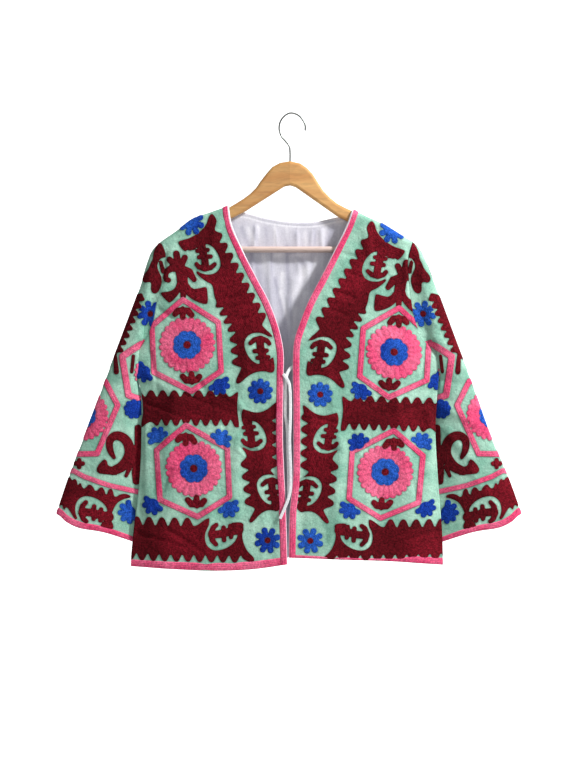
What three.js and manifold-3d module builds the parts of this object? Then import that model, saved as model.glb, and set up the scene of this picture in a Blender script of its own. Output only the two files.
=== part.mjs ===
// Embroidered jacket on a wooden hanger, hanging from the hanger's wire hook.
// Millimetres, +Z up. The jacket faces -Y and the origin is the inner top of the hook.
// "Right" and "left" are the wearer's: the right half of the jacket is at -X.

import * as THREE from 'three';
import { mergeVertices } from 'three/addons/utils/BufferGeometryUtils.js';
import Module from 'manifold-3d';

// ---------------------------------------------------------------- driving dimensions

const CLOTH = 2.0; // embroidered cotton with the lining that is quilted to it
const LINING = 1.0; // white cotton that hangs inside the back
const SEAM = 0.3; // space between two pieces that are sewn together
const BORDER_WIDTH = 12.5;
const BORDER_THICKNESS = 1.2;

const SHOULDER_ROUND = 9.6; // outer radius of the cloth where it turns over the hanger
const FRONT_DEPTH = 25; // how far the fronts stand before the hanger's middle plane
const BACK_DEPTH = 19; // how far the back stands behind it
const SIDE_DEPTH = CLOTH + SEAM / 2; // half the thickness of the pressed side seam

const SLEEVE_HALF_DEPTH = 14; // half the depth of a hanging sleeve, outside
const SLEEVE_TIP = 2.4; // wall along the two pressed folds of a sleeve
const CUFF_DIP = 9; // how far the lip of the cuff swings below a straight line
const UNDERARM_FULLNESS = 23; // how far the sleeve swells outwards below the armhole's corner

const TIE_WIDTH = 5.5;
const TIE_THICKNESS = 1.2;

const ARM_THICKNESS = 12;
const ARM_ROUND = 5;
const ARM_CLEARANCE = 3.1; // from the cloth's outer face down to the wood
const ARM_END = 214;
const ARM_BLOCK = 18; // length of the deeper end that holds the bar
const BAR_HEIGHT = -244;
const BAR_RADIUS = 5.5;
const BAR_TENON_RADIUS = 3.5;
const BAR_TENON_LENGTH = 8.5;
const WIRE_RADIUS = 1.4;
const SHANK_FOOT = -104;

const ARCH_STEPS = 4; // cloth facets over the hanger, for each of front and back
const COLUMNS = 10; // cells across a front
const NECK_SHARE = 0.46; // the neck's share of each half of the back
const BACK_COLUMNS = 20;
const LOWER_ROWS = 12; // cells from the underarm to the hem band
const ARMHOLE_ROWS = [0.2, 0.4, 0.6, 0.8, 0.93, 1]; // shares of the way to the underarm
const SLEEVE_ROWS = [0, 0.025, 0.06, 0.11, 0.17, 0.24, 0.32, 0.4, 0.49, 0.58, 0.67, 0.76, 0.86];

// Half of the jacket for each hand. x is measured outwards from the middle plane.
const RIGHT = {
  name: 'right',
  sign: -1,
  freeEdge: [
    { z: -165.6, x: 110 },
    { z: -201.6, x: 103.7 },
    { z: -250, x: 82.8 },
    { z: -297, x: 59.4 },
    { z: -338, x: 37.8 },
    { z: -387, x: 19.8 },
    { z: -428, x: 11.5 },
    { z: -472, x: 11.5 },
    { z: -583, x: 12.6 },
    { z: -643, x: 10.4 },
    { z: -700, x: 7.5 },
    { z: -808, x: 4.5 },
  ],
  shoulder: [
    { x: 110, z: -165.6 },
    { x: 142, z: -176.4 },
    { x: 175, z: -189 },
    { x: 202, z: -208.8 },
    { x: 232, z: -229.5 },
  ],
  armhole: [
    { z: -229.5, x: 232 },
    { z: -255.6, x: 223 },
    { z: -299, x: 228.6 },
    { z: -342, x: 239.8 },
    { z: -377.5, x: 247.3 },
    { z: -410.4, x: 262.4 },
    { z: -432.7, x: 277 },
    { z: -445, x: 279 },
  ],
  side: [
    { z: -445, x: 279 },
    { z: -464, x: 277.5 },
    { z: -495, x: 269 },
    { z: -557, x: 267 },
    { z: -650, x: 270 },
    { z: -731, x: 279 },
    { z: -789, x: 285 },
    { z: -813.6, x: 286.2 },
  ],
  hem: [
    { x: 4.5, z: -808 },
    { x: 60, z: -816 },
    { x: 108, z: -819 },
    { x: 162, z: -819 },
    { x: 286.2, z: -813.6 },
  ],
  outerFold: [
    { x: 232, z: -229.5 },
    { x: 248.4, z: -248.4 },
    { x: 270, z: -313 },
    { x: 302.4, z: -399.6 },
    { x: 334.8, z: -486 },
    { x: 367.2, z: -572.4 },
    { x: 399.6, z: -658.8 },
    { x: 420, z: -720 },
  ],
  innerFold: [
    { x: 279, z: -445, y: 0 },
    { x: 282, z: -458, y: 9 },
    { x: 275.5, z: -476, y: 17 },
    { x: 262, z: -505, y: 22 },
    { x: 254, z: -560, y: 25 },
    { x: 246, z: -640, y: 27 },
    { x: 235, z: -710, y: 28 },
    { x: 223, z: -792, y: 28 },
  ],
  folds: [
    { at: 0.3, width: 0.1, depth: -3, from: 0.2, to: 0.75 },
    { at: 0.52, width: 0.16, depth: 3, from: 0.55, to: 1.2 },
    { at: 0.8, width: 0.1, depth: 5, from: 0.42, to: 1.2 },
  ],
  armTop: [
    { x: 18, z: -88 },
    { x: 32, z: -95.5 },
    { x: 43, z: -108 },
    { x: 54, z: -122.5 },
    { x: 61, z: -133 },
    { x: 72, z: -144 },
    { x: 85, z: -153.5 },
    { x: 97, z: -161 },
  ],
  armUnder: [
    { x: 0, z: -129 },
    { x: 10, z: -131 },
    { x: 80, z: -175.5 },
    { x: 103, z: -187 },
    { x: 150, z: -206 },
    { x: 184, z: -226 },
  ],
};

const LEFT = {
  name: 'left',
  sign: 1,
  freeEdge: [
    { z: -171.9, x: 112 },
    { z: -201.6, x: 101 },
    { z: -243, x: 81 },
    { z: -291.6, x: 56.7 },
    { z: -338.4, x: 32.4 },
    { z: -374.4, x: 18 },
    { z: -408.6, x: 7 },
    { z: -446, x: 4.5 },
    { z: -525.6, x: 5.4 },
    { z: -642.6, x: 5.4 },
    { z: -673, x: 3.6 },
    { z: -715, x: -1 },
    { z: -796, x: -2.6 },
  ],
  shoulder: [
    { x: 112, z: -171.9 },
    { x: 142, z: -186.5 },
    { x: 167, z: -198 },
    { x: 202, z: -219.6 },
    { x: 220, z: -229.5 },
  ],
  armhole: [
    { z: -229.5, x: 220 },
    { z: -264.6, x: 211.5 },
    { z: -298.8, x: 213 },
    { z: -347.4, x: 218.9 },
    { z: -378, x: 226 },
    { z: -409, x: 241.6 },
    { z: -435.6, x: 265.5 },
    { z: -448, x: 271.8 },
  ],
  side: [
    { z: -448, x: 271.8 },
    { z: -467, x: 268 },
    { z: -514, x: 264.2 },
    { z: -569, x: 261.5 },
    { z: -650, x: 265.7 },
    { z: -705.6, x: 270 },
    { z: -757.8, x: 273.6 },
    { z: -811, x: 275 },
  ],
  hem: [
    { x: -2.6, z: -796 },
    { x: 74, z: -799 },
    { x: 198, z: -804.6 },
    { x: 275, z: -811 },
  ],
  outerFold: [
    { x: 220, z: -229.5 },
    { x: 235.8, z: -248.4 },
    { x: 262.8, z: -313 },
    { x: 295.2, z: -399.6 },
    { x: 327.6, z: -486 },
    { x: 358.2, z: -572.4 },
    { x: 394.2, z: -658.8 },
    { x: 416, z: -720 },
  ],
  innerFold: [
    { x: 271.8, z: -448, y: 0 },
    { x: 275, z: -461, y: 9 },
    { x: 268.5, z: -479, y: 17 },
    { x: 255.5, z: -507, y: 22 },
    { x: 249, z: -560, y: 25 },
    { x: 243, z: -640, y: 27 },
    { x: 232, z: -710, y: 28 },
    { x: 220, z: -790, y: 28 },
  ],
  folds: [
    { at: 0.26, width: 0.1, depth: -3, from: 0.2, to: 0.7 },
    { at: 0.6, width: 0.15, depth: -5, from: 0.55, to: 1.2 },
    { at: 0.84, width: 0.09, depth: 4, from: 0.45, to: 1.2 },
  ],
  armTop: [
    { x: 18, z: -89 },
    { x: 30, z: -97 },
    { x: 41, z: -108.5 },
    { x: 51, z: -124.5 },
    { x: 60, z: -138.5 },
    { x: 72, z: -151 },
    { x: 85, z: -161.5 },
    { x: 98, z: -168.5 },
  ],
  armUnder: [
    { x: 10, z: -132 },
    { x: 84, z: -184 },
    { x: 103, z: -193.5 },
    { x: 150, z: -215 },
    { x: 184, z: -228 },
  ],
};

// Edge of the back at the neck, and its hem, in the jacket's own x.
const NECK = [
  { x: -107.5, z: -175.2 },
  { x: -80, z: -177 },
  { x: -49, z: -185.5 },
  { x: -23, z: -190.5 },
  { x: 5, z: -194 },
  { x: 45, z: -193.5 },
  { x: 84, z: -185.5 },
  { x: 109, z: -181.5 },
];
const BACK_HEM = [
  { x: -286.2, z: -813.6 },
  { x: -90, z: -815 },
  { x: -8, z: -804 },
  { x: 0, z: -797 },
  { x: 74, z: -799 },
  { x: 198, z: -804.6 },
  { x: 275, z: -811 },
];
const BACK_FOLDS = [
  { at: -0.62, width: 0.11, depth: 5, from: 0.35, to: 1.2 },
  { at: -0.18, width: 0.12, depth: 4, from: 0.5, to: 1.2 },
  { at: 0.27, width: 0.13, depth: 5, from: 0.4, to: 1.2 },
  { at: 0.7, width: 0.1, depth: 4, from: 0.45, to: 1.2 },
];

// The wire of the hook, from the tip round to the foot of the shank.
const HOOK = [
  { x: 27.5, z: -30 },
  { x: 27, z: -20 },
  { x: 19.5, z: -6.5 },
  { x: 10, z: 0 },
  { x: 0, z: WIRE_RADIUS },
  { x: -9, z: -3 },
  { x: -17, z: -13 },
  { x: -19.5, z: -27 },
  { x: -15, z: -41 },
  { x: -7.2, z: -50.4 },
  { x: -1.5, z: -58 },
  { x: 0, z: -68 },
  { x: 0, z: -86 },
  { x: 0, z: SHANK_FOOT },
];

// The two ties of flat white tape: one sewn on the right border, one inside the left front.
const TIE_RIGHT = [
  { x: -12, y: -27.4, z: -468 },
  { x: -8, y: -27.7, z: -474 },
  { x: -2, y: -28.2, z: -484 },
  { x: 0, y: -28.4, z: -500 },
  { x: 0.5, y: -28.4, z: -540 },
  { x: -0.8, y: -28.4, z: -581 },
  { x: -0.6, y: -28.5, z: -600 },
  { x: 1, y: -28.6, z: -640 },
  { x: 0.7, y: -28.8, z: -672 },
  { x: -3, y: -29, z: -690 },
  { x: -10, y: -29, z: -708 },
  { x: -18, y: -28.8, z: -726 },
];
const TIE_LEFT = [
  { x: 10, y: -22.0, z: -453 },
  { x: 4.5, y: -22.0, z: -455 },
  { x: -1, y: -22.6, z: -460 },
  { x: -5.6, y: -24, z: -469 },
  { x: -7.3, y: -24.8, z: -482 },
  { x: -7.6, y: -24.9, z: -510 },
  { x: -7.6, y: -24.9, z: -545 },
  { x: -5, y: -24.9, z: -566 },
  { x: -3.8, y: -24.9, z: -600 },
  { x: -2.8, y: -24.9, z: -645 },
  { x: -2.4, y: -24.9, z: -690 },
];
const TIE_STEPS = 24;

const MINT = { color: 0xabcbbb, roughness: 0.92, metalness: 0 };
const MAROON = { color: 0x82181f, roughness: 0.9, metalness: 0 };
const PINK = { color: 0xe55982, roughness: 0.9, metalness: 0 };
const WHITE = { color: 0xd8d5de, roughness: 0.95, metalness: 0 };
const WOOD = { color: 0xdda764, roughness: 0.45, metalness: 0 };
const PALE_WOOD = { color: 0xdcc3b4, roughness: 0.6, metalness: 0 };
const STEEL = { color: 0xc8c8cc, roughness: 0.3, metalness: 1 };

// ---------------------------------------------------------------- small helpers

const mix = (a, b, t) => a + (b - a) * t;
const clamp = (value) => Math.min(Math.max(value, 0), 1);
const ease = (a, b, value) => {
  const t = clamp((value - a) / (b - a));
  return t * t * (3 - 2 * t);
};
const lastOf = (rows) => rows[rows.length - 1];

// Reads a table as one smooth line: the value column at a place in the key column.
function read(rows, key, value, place) {
  const last = rows.length - 1;
  const direction = Math.sign(rows[last][key] - rows[0][key]);
  let i = 0;
  while (i < last - 1 && direction * (place - rows[i + 1][key]) > 0) i += 1;
  const slope = (k) => {
    const before = rows[Math.max(k - 1, 0)];
    const after = rows[Math.min(k + 1, last)];
    return (after[value] - before[value]) / (after[key] - before[key]);
  };
  const span = rows[i + 1][key] - rows[i][key];
  const t = clamp((place - rows[i][key]) / span);
  const rise = t * t * (3 - 2 * t);
  const leave = t * (1 - t) * (1 - t) * span * slope(i);
  const arrive = t * t * (t - 1) * span * slope(i + 1);
  return mix(rows[i][value], rows[i + 1][value], rise) + leave + arrive;
}

// A smooth run of points through a table's rows, evenly spaced.
function spaced(rows, steps, sign = 1) {
  const points = rows.map((row) => new THREE.Vector3(sign * row.x, row.y ?? 0, row.z));
  return new THREE.CatmullRomCurve3(points, false, 'centripetal').getSpacedPoints(steps);
}

// ---------------------------------------------------------------- solids from rows of points

// Turns a list of corners and triangles into a closed geometry with its faces pointing out.
function closedGeometry(points, triangles) {
  let volume = 0;
  for (const [a, b, c] of triangles) {
    volume += points[a].dot(new THREE.Vector3().crossVectors(points[b], points[c]));
  }
  const index = triangles.flatMap(([a, b, c]) => (volume > 0 ? [a, b, c] : [a, c, b]));
  const geometry = new THREE.BufferGeometry();
  geometry.setAttribute('position', new THREE.Float32BufferAttribute(points.flatMap((p) => p.toArray()), 3));
  geometry.setIndex(index);
  geometry.computeVertexNormals();
  return geometry;
}

// A wall between an outer and an inner grid of points. "closed" joins the last column to the
// first, and "keep" says which cells are cloth. Every open edge gets its own narrow face.
function wall(outer, inner, { closed = false, keep = () => true } = {}) {
  const rows = outer.length;
  const columns = outer[0].length;
  const points = [...outer.flat(), ...inner.flat()];
  const innerStart = rows * columns;
  const triangles = [];
  const edges = new Map();
  const addEdge = (a, b) => {
    if (edges.has(`${b},${a}`)) edges.delete(`${b},${a}`);
    else edges.set(`${a},${b}`, [a, b]);
  };
  for (let r = 0; r < rows - 1; r += 1) {
    for (let c = 0; c < (closed ? columns : columns - 1); c += 1) {
      if (!keep(r, c)) continue;
      const next = (c + 1) % columns;
      const corners = [[r, c], [r + 1, c], [r + 1, next], [r, next]];
      const [p, q, s, t] = corners.map(([row, column]) => row * columns + column);
      triangles.push([p, q, s], [p, s, t]);
      for (const [a, b, d] of [[p, q, s], [p, s, t]]) {
        triangles.push([a + innerStart, d + innerStart, b + innerStart]);
      }
      addEdge(p, q);
      addEdge(q, s);
      addEdge(s, t);
      addEdge(t, p);
    }
  }
  for (const [a, b] of edges.values()) {
    triangles.push([b, a, a + innerStart], [b, a + innerStart, b + innerStart]);
  }
  const used = [...new Set(triangles.flat())];
  const place = new Map(used.map((corner, k) => [corner, k]));
  return closedGeometry(
    used.map((corner) => points[corner]),
    triangles.map((triangle) => triangle.map((corner) => place.get(corner))),
  );
}

// A solid bar through rings of points, with a flat face on each end.
function loft(rings) {
  const count = rings[0].length;
  const triangles = [];
  for (let r = 0; r < rings.length - 1; r += 1) {
    for (let c = 0; c < count; c += 1) {
      const next = (c + 1) % count;
      const [p, q] = [r * count + c, r * count + next];
      triangles.push([p, q, q + count], [p, q + count, p + count]);
    }
  }
  const foot = (rings.length - 1) * count;
  for (let c = 1; c < count - 1; c += 1) {
    triangles.push([0, c + 1, c], [foot, foot + c, foot + c + 1]);
  }
  return closedGeometry(rings.flat(), triangles);
}

// ---------------------------------------------------------------- fronts and back

// A row of a panel: "turn" is the angle that the cloth has turned over the hanger, and "fall"
// is the share of the way from there down to the hem.
function panelRows(side) {
  const top = lastOf(side.armhole).z;
  const start = side.armhole[0].z - SHOULDER_ROUND;
  const foot = lastOf(side.side).z;
  const underarm = (top - start) / (foot - start);
  const band = 1 - BORDER_WIDTH / (start - foot);
  const rows = [];
  for (let i = 0; i < ARCH_STEPS; i += 1) rows.push({ turn: (i / ARCH_STEPS) * (Math.PI / 2), fall: 0 });
  rows.push({ turn: Math.PI / 2, fall: 0 });
  for (const share of ARMHOLE_ROWS) rows.push({ turn: Math.PI / 2, fall: underarm * share });
  for (let i = 1; i <= LOWER_ROWS; i += 1) {
    rows.push({ turn: Math.PI / 2, fall: mix(underarm, band, i / LOWER_ROWS) });
  }
  rows.push({ turn: Math.PI / 2, fall: 1 });
  return { rows, underarm, underarmRow: ARCH_STEPS + ARMHOLE_ROWS.length };
}

const outerEdge = (side, z) => {
  const rows = z > lastOf(side.armhole).z ? side.armhole : side.side;
  return read(rows, 'z', 'x', z);
};

// How deep the cloth stands from the middle plane, between a full and a seam depth.
function sideDepth(fall, underarm) {
  return mix(SHOULDER_ROUND, SIDE_DEPTH, ease(underarm * 0.35, underarm, fall));
}

function foldDepth(folds, across, fall) {
  let depth = 0;
  for (const fold of folds) {
    const along = ease(fold.from, fold.from + 0.3, fall) * (1 - ease(fold.to - 0.2, fold.to, fall));
    depth += fold.depth * along * Math.exp(-(((across - fold.at) / fold.width) ** 2));
  }
  return depth;
}

// A point of a front's outer face. "across" runs from the free edge to the armhole and side.
function frontPoint(side, across, { turn, fall }, underarm) {
  const lift = SHOULDER_ROUND * Math.cos(turn);
  const zFree = mix(side.freeEdge[0].z - SHOULDER_ROUND, lastOf(side.freeEdge).z, fall) + lift;
  const zOuter = mix(side.armhole[0].z - SHOULDER_ROUND, lastOf(side.side).z, fall) + lift;
  const x = mix(read(side.freeEdge, 'z', 'x', zFree), outerEdge(side, zOuter), across);
  const neck = side.shoulder[0];
  const tip = lastOf(side.shoulder);
  const seamX = mix(neck.x, tip.x, across);
  const seamSag = read(side.shoulder, 'x', 'z', seamX) - mix(neck.z, tip.z, across);
  const hemStart = side.hem[0];
  const hemEnd = lastOf(side.hem);
  const hemX = mix(hemStart.x, hemEnd.x, across);
  const hemSag = read(side.hem, 'x', 'z', hemX) - mix(hemStart.z, hemEnd.z, across);
  const z = mix(zFree, zOuter, across) + seamSag * (1 - fall) ** 7 + hemSag * fall ** 6;
  const full = mix(SHOULDER_ROUND, FRONT_DEPTH, ease(0, 0.42, fall));
  const depth = mix(full, sideDepth(fall, underarm), across ** 3)
    + foldDepth(side.folds, across, fall) * (1 - across ** 6) * ease(0, 0.15, fall);
  const y = mix(SEAM / 2, depth, Math.sin(turn));
  return new THREE.Vector3(side.sign * x, -y, z);
}

// Moves a panel's points along the thickness of its cloth: facing -1 for a front, 1 for a back.
function moved(grid, rows, facing, distance) {
  return grid.map((line, r) => line.map((point) => new THREE.Vector3(
    point.x,
    point.y + facing * distance * Math.sin(rows[r].turn),
    point.z + distance * Math.cos(rows[r].turn),
  )));
}

// Share of a row that the sewn border covers, measured square to the free edge.
function borderShare(side, row, underarm) {
  const here = frontPoint(side, 0, row, underarm);
  const along = frontPoint(side, 1, row, underarm).sub(here).setY(0);
  const step = 2;
  const above = read(side.freeEdge, 'z', 'x', here.z + step);
  const below = read(side.freeEdge, 'z', 'x', here.z - step);
  const edge = new THREE.Vector3(side.sign * (below - above), 0, -2 * step).normalize();
  const width = along.length();
  const square = along.normalize().cross(edge).length();
  return BORDER_WIDTH / square / width;
}

function makeFront(side) {
  const { rows, underarm, underarmRow } = panelRows(side);
  const outer = rows.map((row) => {
    const border = borderShare(side, row, underarm);
    const line = [frontPoint(side, 0, row, underarm)];
    for (let c = 0; c < COLUMNS; c += 1) {
      line.push(frontPoint(side, mix(border, 1, c / (COLUMNS - 1)), row, underarm));
    }
    return line;
  });
  const inner = moved(outer, rows, -1, -CLOTH);
  const face = moved(outer, rows, -1, SEAM);
  const top = moved(outer, rows, -1, SEAM + BORDER_THICKNESS);
  const strip = (grid) => grid.map((line) => line.slice(0, 2));
  const foot = (grid) => grid.slice(-2).map((line) => line.slice(1));
  // The hem band starts beside the front border, a seam's width away from it.
  const parted = (grid) => grid.map((line) => {
    const direction = line[1].clone().sub(line[0]).normalize();
    return [line[0].clone().addScaledVector(direction, SEAM), ...line.slice(1)];
  });
  return {
    underarmRow,
    seamOuter: outer.map(lastOf),
    seamInner: inner.map(lastOf),
    panel: wall(outer, inner),
    border: wall(strip(top), strip(face)),
    hem: wall(parted(foot(top)), parted(foot(face))),
  };
}

// Where a column of the back starts and ends. "across" is -1 at the right side, 1 at the left.
function backColumn(across) {
  const side = across < 0 ? RIGHT : LEFT;
  const out = Math.abs(across);
  const tip = side.armhole[0];
  if (out < NECK_SHARE - 0.001) {
    const neck = side.sign < 0 ? NECK[0] : lastOf(NECK);
    const x = mix(0, neck.x, out / NECK_SHARE);
    return { side, out, x: () => x, z: read(NECK, 'x', 'z', x) };
  }
  const outwards = (out - NECK_SHARE) / (1 - NECK_SHARE);
  const seamX = mix(side.shoulder[0].x, tip.x, outwards);
  const x = (lift) => side.sign * mix(
    read(side.freeEdge, 'z', 'x', side.freeEdge[0].z - SHOULDER_ROUND + lift),
    outerEdge(side, tip.z - SHOULDER_ROUND + lift),
    outwards,
  );
  return { side, out, x, z: read(side.shoulder, 'x', 'z', seamX) - SHOULDER_ROUND };
}

function backPoint(across, { turn, fall }) {
  const { side, out, x, z } = backColumn(across);
  const { underarm } = panelRows(side);
  const hemX = across * lastOf(side.side).x;
  const hemZ = read(BACK_HEM, 'x', 'z', side.sign * Math.abs(hemX));
  const lift = SHOULDER_ROUND * Math.cos(turn);
  const zStart = side.armhole[0].z - SHOULDER_ROUND;
  const zOuter = mix(zStart, lastOf(side.side).z, fall);
  const sway = outerEdge(side, zOuter) - mix(outerEdge(side, zStart), lastOf(side.side).x, fall);
  const full = mix(SHOULDER_ROUND, BACK_DEPTH, ease(0, 0.45, fall));
  const depth = mix(full, sideDepth(fall, underarm), out ** 3)
    + foldDepth(BACK_FOLDS, across, fall) * (1 - out ** 6);
  return new THREE.Vector3(
    mix(x(lift), hemX, fall) + side.sign * out ** 2 * sway,
    mix(SEAM / 2, depth, Math.sin(turn)),
    mix(z, hemZ, fall) + lift,
  );
}

function makeBack() {
  const right = panelRows(RIGHT);
  const left = panelRows(LEFT);
  // Half the columns lie within the neck, so that a column meets each end of the shoulder seams.
  const shares = [];
  const half = BACK_COLUMNS / 2;
  const inNeck = 4;
  for (let c = 0; c <= half; c += 1) {
    shares.push(c <= inNeck ? (c / inNeck) * NECK_SHARE : mix(NECK_SHARE, 1, (c - inNeck) / (half - inNeck)));
  }
  const columns = [...shares.slice(1).reverse().map((share) => -share), ...shares];
  const rowAt = (across, r) => (across < 0 ? right.rows[r] : left.rows[r]);
  const outer = right.rows.map((row, r) => columns.map((across) => {
    // The two sides' underarms differ a little in height, so a row leans from one to the other.
    const own = rowAt(across, r);
    const middle = (right.rows[r].fall + left.rows[r].fall) / 2;
    return backPoint(across, { turn: own.turn, fall: mix(middle, own.fall, Math.abs(across)) });
  }));
  const inner = moved(outer, right.rows, 1, -CLOTH);
  const onShoulder = (c) => Math.abs((columns[c] + columns[c + 1]) / 2) > NECK_SHARE;
  const keep = (r, c) => r >= ARCH_STEPS || onShoulder(c);
  const neckColumns = columns.map((across, c) => [across, c])
    .filter(([across]) => Math.abs(across) <= NECK_SHARE + 0.001).map(([, c]) => c);
  const firstNeck = neckColumns[0];
  const pastNeck = lastOf(neckColumns) + 1;
  // The neck band is cut from the back's top edge, and hangs down from it.
  const band = (distance) => {
    const grid = moved(outer, right.rows, 1, distance);
    const edge = grid[ARCH_STEPS].slice(firstNeck, pastNeck);
    const below = grid[ARCH_STEPS + 1].slice(firstNeck, pastNeck);
    const foot = edge.map((point, c) => {
      const drop = point.z - below[c].z;
      return point.clone().lerp(below[c], BORDER_WIDTH / drop);
    });
    return [edge, foot];
  };
  const foot = (distance) => moved(outer, right.rows, 1, distance).slice(-2);
  // The white lining hangs inside, short of the side seams, the armholes and the hem band.
  const lining = (distance) => moved(outer, right.rows, 1, -distance)
    .slice(ARCH_STEPS, -1).map((line) => line.slice(2, -2));
  return {
    seamOuter: { right: outer.map((line) => line[0]), left: outer.map(lastOf) },
    seamInner: { right: inner.map((line) => line[0]), left: inner.map(lastOf) },
    panel: wall(outer, inner, { keep }),
    border: wall(band(SEAM + BORDER_THICKNESS), band(SEAM)),
    hem: wall(foot(SEAM + BORDER_THICKNESS), foot(SEAM)),
    lining: wall(lining(CLOTH + SEAM), lining(CLOTH + SEAM + LINING)),
  };
}

// ---------------------------------------------------------------- sleeves

// Outward directions along a run of edge points, square to it in the XZ plane.
function outwards(points, sign) {
  return points.map((point, k) => {
    const before = points[Math.max(k - 1, 0)];
    const after = points[Math.min(k + 1, points.length - 1)];
    const run = new THREE.Vector3(after.x - before.x, 0, after.z - before.z).normalize();
    const square = new THREE.Vector3(-run.z, 0, run.x);
    return square.multiplyScalar(Math.sign(square.x * sign) || 1);
  });
}

// One ring of a hanging sleeve: a flat oval from the outer fold to the inner fold. "shares" gives
// the places along the ring's width, once over the front and once back again.
function sleeveRing(side, along, shares, inset) {
  const fold = (rows) => new THREE.CatmullRomCurve3(
    rows.map((row) => new THREE.Vector3(side.sign * row.x, row.y ?? 0, row.z)),
    false,
    'centripetal',
  ).getPointAt(along);
  const outer = fold(side.outerFold);
  const inner = fold(side.innerFold);
  const width = Math.hypot(inner.x - outer.x, inner.z - outer.z);
  const tip = inset > 0 ? SLEEVE_TIP / width : inset / width;
  const down = new THREE.Vector3(inner.x - outer.x, 0, inner.z - outer.z).normalize();
  const axis = new THREE.Vector3(down.z, 0, -down.x).multiplyScalar(Math.sign(-down.x * -side.sign) || 1);
  if (axis.z > 0) axis.negate();
  return shares.map(({ share, face }) => {
    const s = mix(tip, 1 - tip, share);
    const lean = inner.y * Math.max(s, 0) ** 1.5;
    const bulge = (SLEEVE_HALF_DEPTH - inset) * Math.sqrt(Math.max(Math.sin(Math.PI * share), 0));
    const dip = CUFF_DIP * Math.exp(-(((share - 0.2) / 0.17) ** 2)) * ease(0.75, 1, along) * ease(0, 0.1, share);
    return new THREE.Vector3(mix(outer.x, inner.x, s), lean + face * bulge, mix(outer.z, inner.z, s))
      .addScaledVector(axis, dip);
  });
}

function makeSleeve(side, front, back) {
  const last = front.underarmRow;
  const edge = { front: front.seamOuter.slice(0, last + 1), back: back.seamOuter[side.name].slice(0, last + 1) };
  const bottom = { front: front.seamInner.slice(0, last + 1), back: back.seamInner[side.name].slice(0, last + 1) };
  const out = outwards(edge.front, side.sign);
  const top = edge.front[0].z;
  const drop = top - edge.front[last].z;
  const shares = [];
  for (let k = 0; k <= last; k += 1) shares.push({ share: (top - edge.front[k].z) / drop, face: -1, row: k });
  for (let k = last - 1; k > 0; k -= 1) shares.push({ share: (top - edge.front[k].z) / drop, face: 1, row: k });
  // The sleeve head is cut to the armhole, a seam's width outside the body's edge.
  const head = (run, foldOut) => shares.map(({ face, row }) => {
    const ends = row === 0 || row === last;
    const point = ends ? run.front[row].clone().lerp(run.back[row], 0.5) : (face < 0 ? run.front : run.back)[row].clone();
    return point.addScaledVector(out[row], SEAM + (row === last ? foldOut : 0));
  });
  const build = (armhole, inset, places) => {
    const start = sleeveRing(side, 0, shares, inset);
    return places.map((along) => {
      const hold = 1 - ease(0, 0.22, along);
      const fullness = UNDERARM_FULLNESS * ease(0, 0.05, along) * (1 - ease(0.14, 0.44, along));
      return sleeveRing(side, along, shares, inset).map((point, k) => {
        const { share, row } = shares[k];
        const swell = fullness * Math.exp(-(((share - 0.8) / 0.2) ** 2)) * (1 - ease(0.96, 1.04, share));
        return point.addScaledVector(armhole[k].clone().sub(start[k]), hold).addScaledVector(out[row], swell);
      });
    });
  };
  const length = 528;
  const places = [...SLEEVE_ROWS, 1 - BORDER_WIDTH / length, 1];
  const outerHead = head(edge, CLOTH);
  const outer = build(outerHead, 0, places);
  const inner = build(head(bottom, 0), CLOTH, places);
  const cuff = (distance) => build(outerHead, -distance, places.slice(-2));
  return {
    sleeve: wall(outer, inner, { closed: true }),
    cuff: wall(cuff(SEAM + BORDER_THICKNESS), cuff(SEAM), { closed: true }),
  };
}

// ---------------------------------------------------------------- ties

// A flat tape with rounded edges, its width square to its run in the XZ plane.
function makeTie(rows) {
  const points = spaced(rows, TIE_STEPS);
  const section = [[-1, 0], [-0.86, -1], [0, -1], [0.86, -1], [1, 0], [0.86, 1], [0, 1], [-0.86, 1]];
  const rings = points.map((point, k) => {
    const before = points[Math.max(k - 1, 0)];
    const after = points[Math.min(k + 1, TIE_STEPS)];
    const run = after.clone().sub(before).normalize();
    const level = Math.hypot(run.x, run.z);
    const across = new THREE.Vector3(-run.z / level, 0, run.x / level);
    const through = new THREE.Vector3().crossVectors(across, run).normalize();
    return section.map(([a, b]) => point.clone()
      .addScaledVector(across, a * TIE_WIDTH / 2)
      .addScaledVector(through, b * TIE_THICKNESS / 2));
  });
  return loft(rings);
}

// ---------------------------------------------------------------- hanger

const wasm = await Module();
wasm.setup();

function toSolid(geometry) {
  const bare = geometry.clone();
  bare.deleteAttribute('normal');
  bare.deleteAttribute('uv');
  const merged = mergeVertices(bare, 0.0001);
  return new wasm.Manifold(new wasm.Mesh({
    numProp: 3,
    vertProperties: new Float32Array(merged.attributes.position.array),
    triVerts: new Uint32Array(merged.index.array),
  }));
}

function toGeometry(solid) {
  const mesh = solid.getMesh();
  const geometry = new THREE.BufferGeometry();
  geometry.setAttribute('position', new THREE.BufferAttribute(new Float32Array(mesh.vertProperties), 3));
  geometry.setIndex(new THREE.BufferAttribute(new Uint32Array(mesh.triVerts), 1));
  geometry.computeVertexNormals();
  return geometry;
}

// One half of the wood's outline, from the middle out along the top and back along the underside.
function armOutline(side) {
  const under = (x) => read(side.shoulder, 'x', 'z', x) - ARM_CLEARANCE;
  const hidden = [side.shoulder[0].x, 135, 160, 185, 200].map((x) => ({ x, z: under(x) }));
  const block = ARM_END - ARM_BLOCK;
  const foot = BAR_HEIGHT - 10;
  const end = [
    { x: ARM_END, z: under(ARM_END) - 4 },
    { x: ARM_END, z: foot + 3 },
    { x: ARM_END - 3, z: foot },
    { x: block, z: foot },
    { x: block, z: BAR_HEIGHT + BAR_RADIUS + 5 },
  ];
  return [...side.armTop, ...hidden, ...end, ...side.armUnder.slice().reverse()]
    .map(({ x, z }) => new THREE.Vector2(side.sign * x, z));
}

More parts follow.
